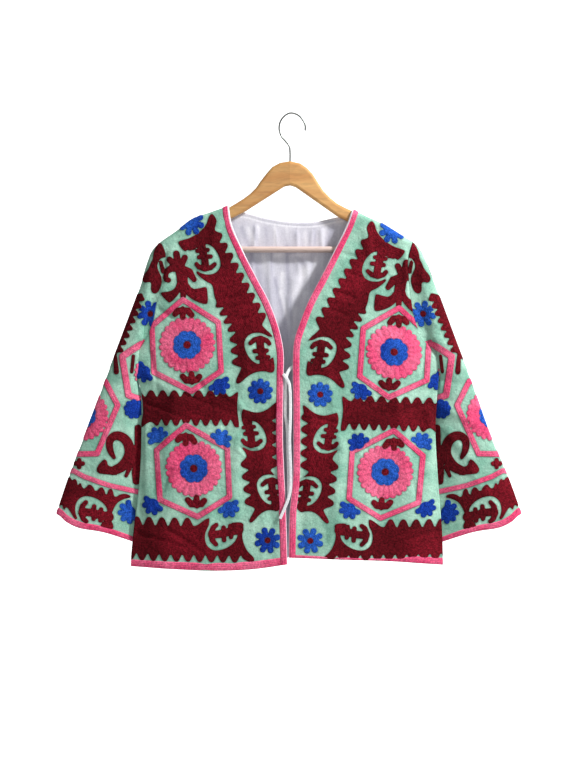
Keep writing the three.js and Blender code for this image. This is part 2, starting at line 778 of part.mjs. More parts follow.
function makeArms() {
  const outline = [new THREE.Vector2(0, -85), ...armOutline(LEFT), ...armOutline(RIGHT).reverse()];
  const wood = new THREE.ExtrudeGeometry(new THREE.Shape(outline), {
    depth: ARM_THICKNESS - 2 * ARM_ROUND,
    bevelEnabled: true,
    bevelThickness: ARM_ROUND,
    bevelSize: ARM_ROUND,
    bevelOffset: -ARM_ROUND,
    bevelSegments: 3,
  });
  wood.translate(0, 0, -ARM_THICKNESS / 2 + ARM_ROUND);
  wood.rotateX(Math.PI / 2);
  const bore = new THREE.CylinderGeometry(WIRE_RADIUS + SEAM, WIRE_RADIUS + SEAM, 40, 12);
  bore.rotateX(Math.PI / 2);
  bore.translate(0, 0, SHANK_FOOT - SEAM + 20);
  let arms = toSolid(wood).subtract(toSolid(bore));
  for (const sign of [-1, 1]) {
    const socket = new THREE.CylinderGeometry(BAR_TENON_RADIUS + SEAM, BAR_TENON_RADIUS + SEAM, 20, 16);
    socket.rotateZ(Math.PI / 2);
    socket.translate(sign * (ARM_END - ARM_BLOCK + BAR_TENON_LENGTH + SEAM - 10), 0, BAR_HEIGHT);
    arms = arms.subtract(toSolid(socket));
  }
  return toGeometry(arms);
}

function makeBar() {
  const shoulder = ARM_END - ARM_BLOCK - SEAM;
  const end = ARM_END - ARM_BLOCK + BAR_TENON_LENGTH;
  const profile = [
    [0, -end],
    [BAR_TENON_RADIUS, -end],
    [BAR_TENON_RADIUS, -shoulder],
    [BAR_RADIUS, -shoulder],
    [BAR_RADIUS, shoulder],
    [BAR_TENON_RADIUS, shoulder],
    [BAR_TENON_RADIUS, end],
    [0, end],
  ].map(([radius, place]) => new THREE.Vector2(radius, place));
  const bar = new THREE.LatheGeometry(profile, 16);
  bar.rotateZ(Math.PI / 2);
  bar.translate(0, 0, BAR_HEIGHT);
  return bar;
}

function makeHook() {
  const path = new THREE.CatmullRomCurve3(HOOK.map(({ x, z }) => new THREE.Vector3(x, 0, z)), false, 'centripetal');
  const section = new THREE.Shape();
  section.absarc(0, 0, WIRE_RADIUS, 0, 2 * Math.PI);
  return new THREE.ExtrudeGeometry(section, { steps: 36, extrudePath: path, curveSegments: 8 });
}

// ---------------------------------------------------------------- the jacket on its hanger

const jacket = new THREE.Group();

function add(name, geometry, material) {
  const mesh = new THREE.Mesh(geometry, new THREE.MeshStandardMaterial(material));
  mesh.name = name;
  jacket.add(mesh);
}

const back = makeBack();
add('back', back.panel, MINT);
add('lining_back', back.lining, WHITE);
add('border_neck_back', back.border, PINK);
add('hem_border_back', back.hem, PINK);
for (const side of [RIGHT, LEFT]) {
  const front = makeFront(side);
  const { sleeve, cuff } = makeSleeve(side, front, back);
  add(`front_${side.name}`, front.panel, MINT);
  add(`border_front_${side.name}`, front.border, PINK);
  add(`hem_border_${side.name}`, front.hem, PINK);
  add(`sleeve_${side.name}`, sleeve, MAROON);
  add(`cuff_border_${side.name}`, cuff, PINK);
}
add('tie_right', makeTie(TIE_RIGHT), WHITE);
add('tie_left', makeTie(TIE_LEFT), WHITE);
add('hanger_arms', makeArms(), WOOD);
add('hanger_bar', makeBar(), PALE_WOOD);
add('hanger_hook', makeHook(), STEEL);

export default jacket;
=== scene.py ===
"""Looks of an embroidered jacket that hangs from a wooden hanger. Lengths are in millimetres."""

import math

import bmesh
import bpy
import numpy
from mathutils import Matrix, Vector


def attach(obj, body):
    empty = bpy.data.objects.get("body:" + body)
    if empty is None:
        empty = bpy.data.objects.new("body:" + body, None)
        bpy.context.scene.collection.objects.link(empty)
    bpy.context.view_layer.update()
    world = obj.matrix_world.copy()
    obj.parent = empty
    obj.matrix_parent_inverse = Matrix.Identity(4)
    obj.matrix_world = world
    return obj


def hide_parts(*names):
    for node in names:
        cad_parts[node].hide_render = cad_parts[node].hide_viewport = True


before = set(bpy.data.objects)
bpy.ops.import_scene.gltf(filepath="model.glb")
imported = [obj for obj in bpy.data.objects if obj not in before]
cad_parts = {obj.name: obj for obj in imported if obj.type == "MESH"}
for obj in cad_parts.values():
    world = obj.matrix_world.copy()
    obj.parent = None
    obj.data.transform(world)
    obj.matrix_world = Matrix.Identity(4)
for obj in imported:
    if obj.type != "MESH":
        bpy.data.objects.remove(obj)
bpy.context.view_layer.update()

# ---------------------------------------------------------------- sizes

MM = 0.001
CLOTH = 2.0
SEAM = 0.3
BORDER_WIDTH = 12.5
BORDER_THICKNESS = 1.2
SHOULDER_ROUND = 9.6
FRONT_DEPTH = 25.0
BACK_DEPTH = 19.0
SIDE_DEPTH = 2.15
SLEEVE_HALF_DEPTH = 14.0
SLEEVE_TIP = 2.4
CUFF_DIP = 9.0
UNDERARM_FULLNESS = 23.0
SLEEVE_LENGTH = 528.0
PANEL_FALL = 575.0
NECK_FALL = 622.0
SLEEVE_HEAD_STEPS = 72
SHOULDER_ROWS = 6
SLEEVE_SHELL = 0.9
LINING_SHELL = 0.5
BAND_LIFT = 0.05
NECK_SHARE = 0.46
TIE_WIDTH = 5.5
TIE_THICKNESS = 1.2
STITCH_HEIGHT = 1.0
STITCH_ROW = 3.0
PUCKER = 2.6
CREASE_RISE = 1.7
FAR = 1000.0

RIGHT = {
    "name": "right",
    "sign": -1,
    "free": [(-165.6, 110), (-201.6, 103.7), (-250, 82.8), (-297, 59.4), (-338, 37.8), (-387, 19.8),
             (-428, 11.5), (-472, 11.5), (-583, 12.6), (-643, 10.4), (-700, 7.5), (-808, 4.5)],
    "shoulder": [(110, -165.6), (142, -176.4), (175, -189), (202, -208.8), (232, -229.5)],
    "armhole": [(-229.5, 232), (-255.6, 223), (-299, 228.6), (-342, 239.8), (-377.5, 247.3),
                (-410.4, 262.4), (-432.7, 277), (-445, 279)],
    "side": [(-445, 279), (-464, 277.5), (-495, 269), (-557, 267), (-650, 270), (-731, 279),
             (-789, 285), (-813.6, 286.2)],
    "hem": [(4.5, -808), (60, -816), (108, -819), (162, -819), (286.2, -813.6)],
    "outer": [(232, 0, -229.5), (248.4, 0, -248.4), (270, 0, -313), (302.4, 0, -399.6),
              (334.8, 0, -486), (367.2, 0, -572.4), (399.6, 0, -658.8), (420, 0, -720)],
    "inner": [(279, 0, -445), (282, 9, -458), (275.5, 17, -476), (262, 22, -505), (254, 25, -560),
              (246, 27, -640), (235, 28, -710), (223, 28, -792)],
    "folds": [(0.3, 0.1, -3, 0.2, 0.75), (0.52, 0.16, 3, 0.55, 1.2), (0.8, 0.1, 5, 0.42, 1.2)],
}
LEFT = {
    "name": "left",
    "sign": 1,
    "free": [(-171.9, 112), (-201.6, 101), (-243, 81), (-291.6, 56.7), (-338.4, 32.4), (-374.4, 18),
             (-408.6, 7), (-446, 4.5), (-525.6, 5.4), (-642.6, 5.4), (-673, 3.6), (-715, -1),
             (-796, -2.6)],
    "shoulder": [(112, -171.9), (142, -186.5), (167, -198), (202, -219.6), (220, -229.5)],
    "armhole": [(-229.5, 220), (-264.6, 211.5), (-298.8, 213), (-347.4, 218.9), (-378, 226),
                (-409, 241.6), (-435.6, 265.5), (-448, 271.8)],
    "side": [(-448, 271.8), (-467, 268), (-514, 264.2), (-569, 261.5), (-650, 265.7),
             (-705.6, 270), (-757.8, 273.6), (-811, 275)],
    "hem": [(-2.6, -796), (74, -799), (198, -804.6), (275, -811)],
    "outer": [(220, 0, -229.5), (235.8, 0, -248.4), (262.8, 0, -313), (295.2, 0, -399.6),
              (327.6, 0, -486), (358.2, 0, -572.4), (394.2, 0, -658.8), (416, 0, -720)],
    "inner": [(271.8, 0, -448), (275, 9, -461), (268.5, 17, -479), (255.5, 22, -507), (249, 25, -560),
              (243, 27, -640), (232, 28, -710), (220, 28, -790)],
    "folds": [(0.26, 0.1, -3, 0.2, 0.7), (0.6, 0.15, -5, 0.55, 1.2), (0.84, 0.09, 4, 0.45, 1.2)],
}
NECK = [(-107.5, -175.2), (-80, -177), (-49, -185.5), (-23, -190.5), (5, -194), (45, -193.5),
        (84, -185.5), (109, -181.5)]
BACK_HEM = [(-286.2, -813.6), (-90, -815), (-8, -804), (0, -797), (74, -799), (198, -804.6), (275, -811)]
BACK_FOLDS = [(-0.62, 0.11, 5, 0.35, 1.2), (-0.18, 0.12, 4, 0.5, 1.2), (0.27, 0.13, 5, 0.4, 1.2),
              (0.7, 0.1, 4, 0.45, 1.2)]
TIE_RIGHT = [(-12, -27.4, -468), (-8, -27.7, -474), (-2, -28.2, -484), (0, -28.4, -500),
             (0.5, -28.4, -540), (-0.8, -28.4, -581), (-0.6, -28.5, -600), (1, -28.6, -640),
             (0.7, -28.8, -672), (-3, -29, -690), (-10, -29, -708), (-18, -28.8, -726)]
TIE_LEFT = [(10, -22, -453), (4.5, -22, -455), (-1, -22.6, -460), (-5.6, -24, -469),
            (-7.3, -24.8, -482), (-7.6, -24.9, -510), (-7.6, -24.9, -545), (-5, -24.9, -566),
            (-3.8, -24.9, -600), (-2.8, -24.9, -645), (-2.4, -24.9, -690)]

# ---------------------------------------------------------------- camera

VIEW_MIDDLE = Vector((-0.0036, 0, -0.486))
VIEW_HEIGHT = 1.382
VIEW_DISTANCE = 3.0

scene = bpy.context.scene
camera = bpy.data.objects.new("camera", bpy.data.cameras.new("camera"))
scene.collection.objects.link(camera)
camera.data.sensor_width = 36
camera.data.lens = camera.data.sensor_width * VIEW_DISTANCE / VIEW_HEIGHT
camera.location = VIEW_MIDDLE + Vector((0, -VIEW_DISTANCE, 0))
camera.rotation_euler = (math.radians(90), 0, 0)
camera.data.clip_end = 30
scene.camera = camera
scene.render.resolution_x = 576
scene.render.resolution_y = 768

# ---------------------------------------------------------------- small helpers


def mix(a, b, share):
    return a + (b - a) * share


def ease(start, end, value):
    share = numpy.clip((value - start) / (end - start), 0, 1)
    return share * share * (3 - 2 * share)


def read_line(rows, place):
    """A table of (place, value) rows read as one smooth line."""
    rows = numpy.array(rows, float)
    key = rows[:, 0]
    value = rows[:, 1]
    facing = 1 if key[-1] > key[0] else -1
    place = numpy.asarray(place, float)
    i = numpy.clip(numpy.searchsorted(facing * key, facing * place) - 1, 0, len(key) - 2)
    before = numpy.maximum(numpy.arange(len(key)) - 1, 0)
    after = numpy.minimum(numpy.arange(len(key)) + 1, len(key) - 1)
    slope = (value[after] - value[before]) / (key[after] - key[before])
    span = key[i + 1] - key[i]
    share = numpy.clip((place - key[i]) / span, 0, 1)
    leave = share * (1 - share) ** 2 * span * slope[i]
    arrive = share * share * (share - 1) * span * slope[i + 1]
    return mix(value[i], value[i + 1], share * share * (3 - 2 * share)) + leave + arrive


def smooth_run(points, shares):
    """Places at those shares of a smooth curve's length; the curve runs through the points."""
    points = numpy.array(points, float)
    ends = [2 * points[0] - points[1], *points, 2 * points[-1] - points[-2]]
    fine = []
    for p0, p1, p2, p3 in zip(ends, ends[1:], ends[2:], ends[3:]):
        a, b, c = (numpy.linalg.norm(q - p) ** 0.5 for p, q in ((p0, p1), (p1, p2), (p2, p3)))
        leave = ((p1 - p0) / a - (p2 - p0) / (a + b) + (p2 - p1) / b) * b
        arrive = ((p2 - p1) / b - (p3 - p1) / (b + c) + (p3 - p2) / c) * b
        for t in numpy.linspace(0, 1, 30, endpoint=False):
            cubic = 2 * p1 - 2 * p2 + leave + arrive
            square = 3 * p2 - 3 * p1 - 2 * leave - arrive
            fine.append(p1 + leave * t + square * t * t + cubic * t ** 3)
    fine = numpy.array([*fine, points[-1]])
    far = numpy.concatenate([[0], numpy.cumsum(numpy.linalg.norm(numpy.diff(fine, axis=0), axis=1))])
    return numpy.stack([numpy.interp(numpy.asarray(shares) * far[-1], far, fine[:, k]) for k in range(3)], -1)


def grid_normals(points):
    """Unit normals of a grid of points, facing away from the row x column cross product."""
    down = numpy.gradient(points, axis=0)
    over = numpy.gradient(points, axis=1)
    normal = numpy.cross(over, down)
    length = numpy.linalg.norm(normal, axis=-1, keepdims=True)
    return normal / numpy.maximum(length, 1e-9)


def walked(points, axis):
    """How far each point of a grid is along its row or column."""
    step = numpy.linalg.norm(numpy.diff(points, axis=axis), axis=-1)
    start = numpy.zeros_like(numpy.take(step, [0], axis))
    return numpy.cumsum(numpy.concatenate([start, step], axis), axis)


def grid_piece(name, points, values=None, bare=None):
    """A mesh with one vertex for each point of the grid, and the named values on its vertices.
    The points in "bare" are left out."""
    rows, columns = points.shape[:2]
    shape = bmesh.new()
    bmesh.ops.create_grid(shape, x_segments=columns - 1, y_segments=rows - 1, size=0.5)

    def grid_place(vertex):
        column = round((vertex.co.x + 0.5) * (columns - 1))
        row = round((vertex.co.y + 0.5) * (rows - 1))
        return row * columns + column

    if bare is not None:
        left_out = bare.ravel()
        dropped = [vertex for vertex in shape.verts if left_out[grid_place(vertex)]]
        bmesh.ops.delete(shape, geom=dropped, context="VERTS")
    order = [grid_place(vertex) for vertex in shape.verts]
    flat = points.reshape(-1, 3) * MM
    for vertex, k in zip(shape.verts, order):
        vertex.co = flat[k]
    mesh = bpy.data.meshes.new(name)
    shape.to_mesh(mesh)
    shape.free()
    for key, value in (values or {}).items():
        layer = mesh.attributes.new(key, "FLOAT", "POINT")
        layer.data.foreach_set("value", numpy.asarray(value, float).ravel()[order])
    mesh.polygons.foreach_set("use_smooth", [True] * len(mesh.polygons))
    piece = bpy.data.objects.new(name, mesh)
    scene.collection.objects.link(piece)
    return piece


def finish_piece(piece, nodes, slot, *materials):
    for material in materials:
        piece.data.materials.append(material)
    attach(piece, "root")
    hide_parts(*nodes)


def thicken(piece, thickness):
    """Gives a cloth its thickness behind its face, with the second material there."""
    solid = piece.modifiers.new("thickness", "SOLIDIFY")
    solid.thickness = thickness * MM
    solid.offset = -1
    solid.material_offset = 1
    solid.material_offset_rim = 0


def weld_seam(piece, reach):
    """Joins the places where a closed piece's first and last columns meet."""
    weld = piece.modifiers.new("seam", "WELD")
    weld.merge_threshold = reach * MM


# ---------------------------------------------------------------- the jacket's surfaces


def outer_edge(side, z):
    above = read_line(side["armhole"], z)
    below = read_line(side["side"], z)
    return numpy.where(z > side["armhole"][-1][0], above, below)


def underarm_of(side):
    start = side["armhole"][0][0] - SHOULDER_ROUND
    return (side["armhole"][-1][0] - start) / (side["side"][-1][0] - start)


def side_depth(fall, underarm):
    return mix(SHOULDER_ROUND, SIDE_DEPTH, ease(underarm * 0.35, underarm, fall))


def fold_depth(folds, across, fall):
    depth = 0
    for at, width, height, start, end in folds:
        along = ease(start, start + 0.3, fall) * (1 - ease(end - 0.2, end, fall))
        depth = depth + height * along * numpy.exp(-(((across - at) / width) ** 2))
    return depth


def front_surface(side, across, turn, fall):
    """The outer face of a front. "turn" is the bend over the hanger and "fall" the way down."""
    lift = SHOULDER_ROUND * numpy.cos(turn)
    z_free = mix(side["free"][0][0] - SHOULDER_ROUND, side["free"][-1][0], fall) + lift
    z_outer = mix(side["armhole"][0][0] - SHOULDER_ROUND, side["side"][-1][0], fall) + lift
    x = mix(read_line(side["free"], z_free), outer_edge(side, z_outer), across)
    neck_x, neck_z = side["shoulder"][0]
    tip_x, tip_z = side["shoulder"][-1]
    seam_sag = read_line(side["shoulder"], mix(neck_x, tip_x, across)) - mix(neck_z, tip_z, across)
    near_x, near_z = side["hem"][0]
    far_x, far_z = side["hem"][-1]
    hem_sag = read_line(side["hem"], mix(near_x, far_x, across)) - mix(near_z, far_z, across)
    z = mix(z_free, z_outer, across) + seam_sag * (1 - fall) ** 7 + hem_sag * fall ** 6
    full = mix(SHOULDER_ROUND, FRONT_DEPTH, ease(0, 0.42, fall))
    folds = fold_depth(side["folds"], across, fall) * (1 - across ** 6) * ease(0, 0.15, fall)
    depth = mix(full, side_depth(fall, underarm_of(side)), across ** 3) + folds
    y = -mix(SEAM / 2, depth, numpy.sin(turn))
    return numpy.stack(numpy.broadcast_arrays(side["sign"] * x, y, z), -1)


def back_surface(across, turn, fall):
    """The outer face of the back, from the right side at -1 to the left side at 1."""
    lift = SHOULDER_ROUND * numpy.cos(turn)
    halves = []
    for side in (RIGHT, LEFT):
        sign = side["sign"]
        out = numpy.abs(across)
        start = side["armhole"][0][0] - SHOULDER_ROUND
        foot_z, foot_x = side["side"][-1]
        neck_end = NECK[0][0] if sign < 0 else NECK[-1][0]
        neck_x = mix(0, neck_end, numpy.minimum(out / NECK_SHARE, 1))
        outwards = numpy.maximum((out - NECK_SHARE) / (1 - NECK_SHARE), 0)
        top_x = read_line(side["free"], side["free"][0][0] - SHOULDER_ROUND + lift)
        shoulder_x = sign * mix(top_x, outer_edge(side, start + lift), outwards)
        seam_x = mix(side["shoulder"][0][0], side["armhole"][0][1], outwards)
        in_neck = out < NECK_SHARE - 0.001
        x = numpy.where(in_neck, neck_x, shoulder_x)
        shoulder_z = read_line(side["shoulder"], seam_x) - SHOULDER_ROUND
        z = numpy.where(in_neck, read_line(NECK, neck_x), shoulder_z)
        sway = outer_edge(side, mix(start, foot_z, fall))
        sway = sway - mix(outer_edge(side, numpy.array(start)), foot_x, fall)
        full = mix(SHOULDER_ROUND, BACK_DEPTH, ease(0, 0.45, fall))
        depth = mix(full, side_depth(fall, underarm_of(side)), out ** 3)
        depth = depth + fold_depth(BACK_FOLDS, across, fall) * (1 - out ** 6)
        hem_z = read_line(BACK_HEM, sign * out * foot_x)
        halves.append(numpy.stack(numpy.broadcast_arrays(
            mix(x, across * foot_x, fall) + sign * out ** 2 * sway,
            mix(SEAM / 2, depth, numpy.sin(turn)),
            mix(z, hem_z, fall) + lift,
        ), -1))
    return numpy.where((across < 0)[..., None] * numpy.ones(3, bool), halves[0], halves[1])


def panel_rows(step):
    """Turns and falls of a panel's rows: over the hanger first, then down to the hem."""
    turn = numpy.linspace(0, math.pi / 2, SHOULDER_ROWS + 1)
    fall = numpy.linspace(0, 1, round(PANEL_FALL / step) + 1)[1:]
    turns = numpy.concatenate([turn, numpy.full(len(fall), math.pi / 2)])
    return turns, numpy.concatenate([numpy.zeros(len(turn)), fall])


def moved(points, turns, facing, distance):
    """A panel's points moved along the thickness of its cloth."""
    shift = numpy.zeros_like(points)
    shift[..., 1] = facing * distance * numpy.sin(turns)[:, None]
    shift[..., 2] = distance * numpy.cos(turns)[:, None]
    return points + shift


def border_share(side, turn, fall):
    """Share of a row that the sewn border covers, measured square to the free edge."""
    here = front_surface(side, numpy.zeros_like(fall), turn, fall)
    along = front_surface(side, numpy.ones_like(fall), turn, fall) - here
    along[..., 1] = 0
    step = 2
    above = read_line(side["free"], here[..., 2] + step)
    below = read_line(side["free"], here[..., 2] - step)
    edge = numpy.stack([side["sign"] * (below - above), 0 * above, 0 * above - 2 * step], -1)
    edge /= numpy.linalg.norm(edge, axis=-1, keepdims=True)
    width = numpy.linalg.norm(along, axis=-1)
    square = numpy.linalg.norm(numpy.cross(along / width[..., None], edge), axis=-1)
    return BORDER_WIDTH / square / width


def sleeve_ring(side, along, share, face, inset):
    """Rings of a hanging sleeve, a flat oval from the outer fold to the inner fold."""
    outer = smooth_run(side["outer"], along) * (side["sign"], 1, 1)
    inner = smooth_run(side["inner"], along) * (side["sign"], 1, 1)
    run = (inner - outer) * (1, 0, 1)
    width = numpy.linalg.norm(run, axis=-1, keepdims=True)
    tip = (SLEEVE_TIP if inset > 0 else inset) / width
    run = run / width
    axis = numpy.stack([run[:, 2], 0 * run[:, 0], -run[:, 0]], -1)
    axis *= -numpy.sign(axis[:, 2:3])
    s = mix(tip, 1 - tip, share)
    bulge = (SLEEVE_HALF_DEPTH - inset) * numpy.sqrt(numpy.maximum(numpy.sin(math.pi * share), 0))
    dip = CUFF_DIP * numpy.exp(-(((share - 0.2) / 0.17) ** 2)) * ease(0, 0.1, share)
    dip = dip * ease(0.75, 1, along)[:, None]
    points = mix(outer[:, None], inner[:, None], s[..., None])
    points[..., 1] = inner[:, None, 1] * numpy.maximum(s, 0) ** 1.5 + face * bulge
    return points + axis[:, None] * dip[..., None]


def sleeve_surface(side, step, inset=0.0, starts=0.0):
    """The outer face of a sleeve, and the share and face of each of its columns."""
    underarm = underarm_of(side)
    arch = numpy.linspace(0, math.pi / 2, 9)
    turn = numpy.concatenate([arch, numpy.full(SLEEVE_HEAD_STEPS, math.pi / 2)])
    fall = numpy.concatenate([0 * arch, numpy.linspace(0, underarm, SLEEVE_HEAD_STEPS + 1)[1:]])
    front = front_surface(side, numpy.ones_like(fall), turn, fall)
    back = back_surface(numpy.full_like(fall, side["sign"]), turn, fall)
    run = numpy.gradient(front, axis=0) * (1, 0, 1)
    run /= numpy.linalg.norm(run, axis=-1, keepdims=True)
    out = numpy.stack([-run[:, 2], 0 * run[:, 0], run[:, 0]], -1)
    out *= numpy.where(out[:, 0:1] * side["sign"] < 0, -1, 1)
    last = len(fall) - 1
    both = (front + back) / 2
    front[[0, last]] = both[[0, last]]
    back[[0, last]] = both[[0, last]]
    # The ring starts at the underarm, runs up over the front to the fold and down the back.
    rows = [*range(last, -1, -1), *range(1, last + 1)]
    face = numpy.array([-1.0] * (last + 1) + [1.0] * last)
    edge = numpy.concatenate([front[::-1], back[1:]])
    share = ((front[0, 2] - front[rows, 2]) / (front[0, 2] - front[last, 2]))[None]
    fold_out = numpy.where((numpy.array(rows) == last) & (inset <= 0), CLOTH, 0)
    head = edge + out[rows] * (SEAM + fold_out)[:, None]
    along = numpy.linspace(starts, 1, round(SLEEVE_LENGTH * (1 - starts) / step) + 1)
    points = sleeve_ring(side, along, share, face, inset)
    start = sleeve_ring(side, numpy.zeros(1), share, face, inset)[0]
    hold = (1 - ease(0, 0.22, along))[:, None, None]
    fullness = UNDERARM_FULLNESS * ease(0, 0.05, along) * (1 - ease(0.14, 0.44, along))
    swell = numpy.exp(-(((share - 0.8) / 0.2) ** 2)) * (1 - ease(0.96, 1.04, share))
    points = points + (head - start)[None] * hold
    points = points + out[rows][None] * (fullness[:, None] * swell)[..., None]
    return points, share[0], face


# ---------------------------------------------------------------- embroidery
#
# A shape is its box and a function that gives how far inside its edge each place is.

REACH = 4.0


def petal_share(x, z, at, petals, turn):
    """How far places are from the middle line of their petal, 1 where two petals meet."""
    angle = numpy.arctan2(z - at[1], x - at[0]) - turn
    return numpy.abs((angle * petals / (2 * math.pi) + 0.5) % 1 * 2 - 1)


def disc(at, radius, petals=0, depth=0.0, turn=0.0):
    """A round patch, with rounded petals along its edge where there are any."""

    def inside(x, z):
        away = numpy.hypot(x - at[0], z - at[1])
        if not petals:
            return radius - away
        off = petal_share(x, z, at, petals, turn)
        return radius - depth * (1 - numpy.sqrt(1 - off ** 2)) - away

    wide = radius + REACH
    return (at[0] - wide, at[1] - wide, at[0] + wide, at[1] + wide), inside


def stroke(points, widths):
    """A line of stitches through the points, with half its width given at each."""
    widths = [widths] * len(points) if numpy.isscalar(widths) else widths

    def inside(x, z):
        best = numpy.full(len(x), -FAR)
        for (ax, az), (bx, bz), a, b in zip(points, points[1:], widths, widths[1:]):
            run = max(math.hypot(bx - ax, bz - az), 0.01)
            share = ((x - ax) * (bx - ax) + (z - az) * (bz - az)) / run ** 2
            share = numpy.clip(share, 0, 1)
            away = numpy.hypot(x - mix(ax, bx, share), z - mix(az, bz, share))
            best = numpy.maximum(best, mix(a, b, share) - away)
        return best

    xs, zs = zip(*points)
    wide = max(widths) + REACH
    return (min(xs) - wide, min(zs) - wide, max(xs) + wide, max(zs) + wide), inside


def curved(points):
    """An open line through the points with its corners rounded twice."""
    for _ in range(2):
        pairs = [(mix(a, b, 0.25), mix(a, b, 0.75)) for a, b in zip(points, points[1:])]
        points = [points[0], *(point for pair in pairs for point in pair), points[-1]]
    return points


def curl(rows):
    """A rounded stroke from rows of x, z and half width."""
    rows = curved([numpy.array(row, float) for row in rows])
    return stroke([(row[0], row[1]) for row in rows], [row[2] for row in rows])


def softened(points, rounds):
    """A closed outline with its corners cut off, again and again."""
    points = numpy.array(points, float)
    for _ in range(rounds):
        after = numpy.roll(points, -1, axis=0)
        points = numpy.stack([mix(points, after, 0.25), mix(points, after, 0.75)], 1).reshape(-1, 2)
    return points


def patch(points, rounds=2):
    """A filled patch inside an outline."""
    points = softened(points, rounds)

    def inside(x, z):
        best = numpy.full(len(x), FAR * FAR)
        within = numpy.zeros(len(x), bool)
        for (ax, az), (bx, bz) in zip(points, numpy.roll(points, -1, axis=0)):
            run = max((bx - ax) ** 2 + (bz - az) ** 2, 1e-6)
            share = numpy.clip(((x - ax) * (bx - ax) + (z - az) * (bz - az)) / run, 0, 1)
            best = numpy.minimum(best, (x - mix(ax, bx, share)) ** 2 + (z - mix(az, bz, share)) ** 2)
            if az != bz:
                crossing = (bx - ax) * (z - az) / (bz - az) + ax
                within ^= ((az > z) != (bz > z)) & (x < crossing)
        return numpy.where(within, 1, -1) * numpy.sqrt(best)

    low = points.min(0) - REACH
    high = points.max(0) + REACH
    return (low[0], low[1], high[0], high[1]), inside


def teeth(start, end, count, depth, lean=0.0):
    """Points of a toothed edge, its teeth on the left of the way from start to end."""
    way = numpy.array(end, float) - start
    left = numpy.array([-way[1], way[0]]) / numpy.hypot(*way) * depth
    points = []
    for k in range(count):
        for share, rise in ((0, 0), (0.2, 0.65), (0.36, 1.0), (0.62, 1.0), (0.8, 0.65)):
            share = share + lean * math.sin(math.pi * share)
            points.append(start + way * ((k + share) / count) + left * rise)
    return [tuple(point) for point in points]


def placed(points, at, turn, flip, size=1.0):
    """Local points scaled, turned by that many degrees, mirrored where flip is -1, and moved."""
    c = math.cos(math.radians(turn))
    s = math.sin(math.radians(turn))
    points = [(x * size, y * size) for x, y in points]
    return [(at[0] + flip * (x * c - y * s), at[1] + x * s + y * c) for x, y in points]


def sew_lines(cloth, lines, at, turn, flip, size):
    """Sews maroon strokes from local points with half widths."""
    for points, widths in lines:
        points = placed(points, at, turn, flip, size)
        cloth.sew("maroon", stroke(points, [width * size for width in widths]))


class Stitches:
    """How far inside each colour of thread every place is, and the rows that the stitches keep."""

    def __init__(self, x, z):
        self.x = x.ravel()
        self.z = z.ravel()
        self.thread = {colour: numpy.full(self.x.size, -FAR) for colour in ("maroon", "pink", "blue")}
        self.row = numpy.zeros(self.x.size)

    def near(self, shape):
        (x0, z0, x1, z1), inside = shape
        found = (self.x > x0) & (self.x < x1) & (self.z > z0) & (self.z < z1)
        found = numpy.flatnonzero(found)
        return found, inside(self.x[found], self.z[found]) if found.size else None

    def sew(self, colour, *shapes, rows=None):
        """Sews shapes over what is there. "rows" may lay the stitches another way."""
        for shape in shapes:
            found, depth = self.near(shape)
            if not found.size:
                continue
            for other, field in self.thread.items():
                if other == colour:
                    field[found] = numpy.maximum(field[found], depth)
                else:
                    field[found] = numpy.minimum(field[found], -depth)
            here = depth > -1.5
            found = found[here]
            self.row[found] = depth[here] if rows is None else rows(self.x[found], self.z[found])

    def leave(self, *shapes):
        """Leaves shapes bare again."""
        for shape in shapes:
            found, depth = self.near(shape)
            for field in self.thread.values():
                if found.size:
                    field[found] = numpy.minimum(field[found], -depth)

    def values(self):
        every = numpy.max([*self.thread.values()], axis=0)
        bounded = {key: numpy.clip(field, -12, 30) for key, field in self.thread.items()}
        return {**bounded, "row": self.row, "depth": numpy.clip(every, -12, 30)}


def petal_rows(at, petals, turn):
    """Rows of stitches that part one petal from the next."""

    def rows(x, z):
        return (1 - petal_share(x, z, at, petals, turn)) * STITCH_ROW / 2

    return rows


def rosette(cloth, at, radius=51.0, turn=0.1):
    cloth.sew("pink", disc(at, radius, 24, 6.0, turn), rows=petal_rows(at, 24, turn))
    cloth.sew("blue", disc(at, radius * 0.51, 8, 4.0, turn + 0.25))
    cloth.sew("maroon", disc(at, 6.8))


def flower(cloth, at, radius=23.0, petals=9, turn=0.0, heart=True):
    for k in range(petals):
        angle = turn + 2 * math.pi * k / petals
        tip = (at[0] + (radius - 5.6) * math.cos(angle), at[1] + (radius - 5.6) * math.sin(angle))
        cloth.sew("blue", stroke([at, tip], [3.0, 5.6]))
    cloth.sew("blue", disc(at, radius * 0.55))
    if heart:
        cloth.sew("maroon", disc(at, 5.6))


def fan(cloth, at, turn, radius=15.5, lobes=5, spread=46, flip=1):
    """Half a blue flower that opens towards "turn"."""
    tips = []
    for k in range(lobes):
        angle = math.radians((k - (lobes - 1) / 2) * spread)
        tips.append((radius * math.cos(angle), radius * math.sin(angle)))
    middle = placed([(1, 0)], at, turn, flip)[0]
    for tip in placed(tips, at, turn, flip):
        cloth.sew("blue", stroke([middle, tip], [6.0, 5.2]))
    cloth.sew("blue", disc(middle, 10.5))


def trefoil(cloth, at, turn):
    """Three maroon lobes that open from a pointed heel at "at"."""
    for lobe in ((17.5, 16), (21, 0), (15.5, -14)):
        heel = (4.5 + abs(lobe[1]) * 0.1, lobe[1] * 0.12)
        points = placed([heel, (10, lobe[1] * 0.6), lobe], at, turn, 1)
        cloth.sew("maroon", stroke(points, [3.2, 6.2, 5.4]))
    cloth.sew("maroon", patch(placed([(0, 0), (11, 9), (15, 0), (11, -9)], at, turn, 1), 1))


def hexagon(cloth, corners, width=5.1):
    cloth.sew("pink", stroke([*corners, corners[0]], width))


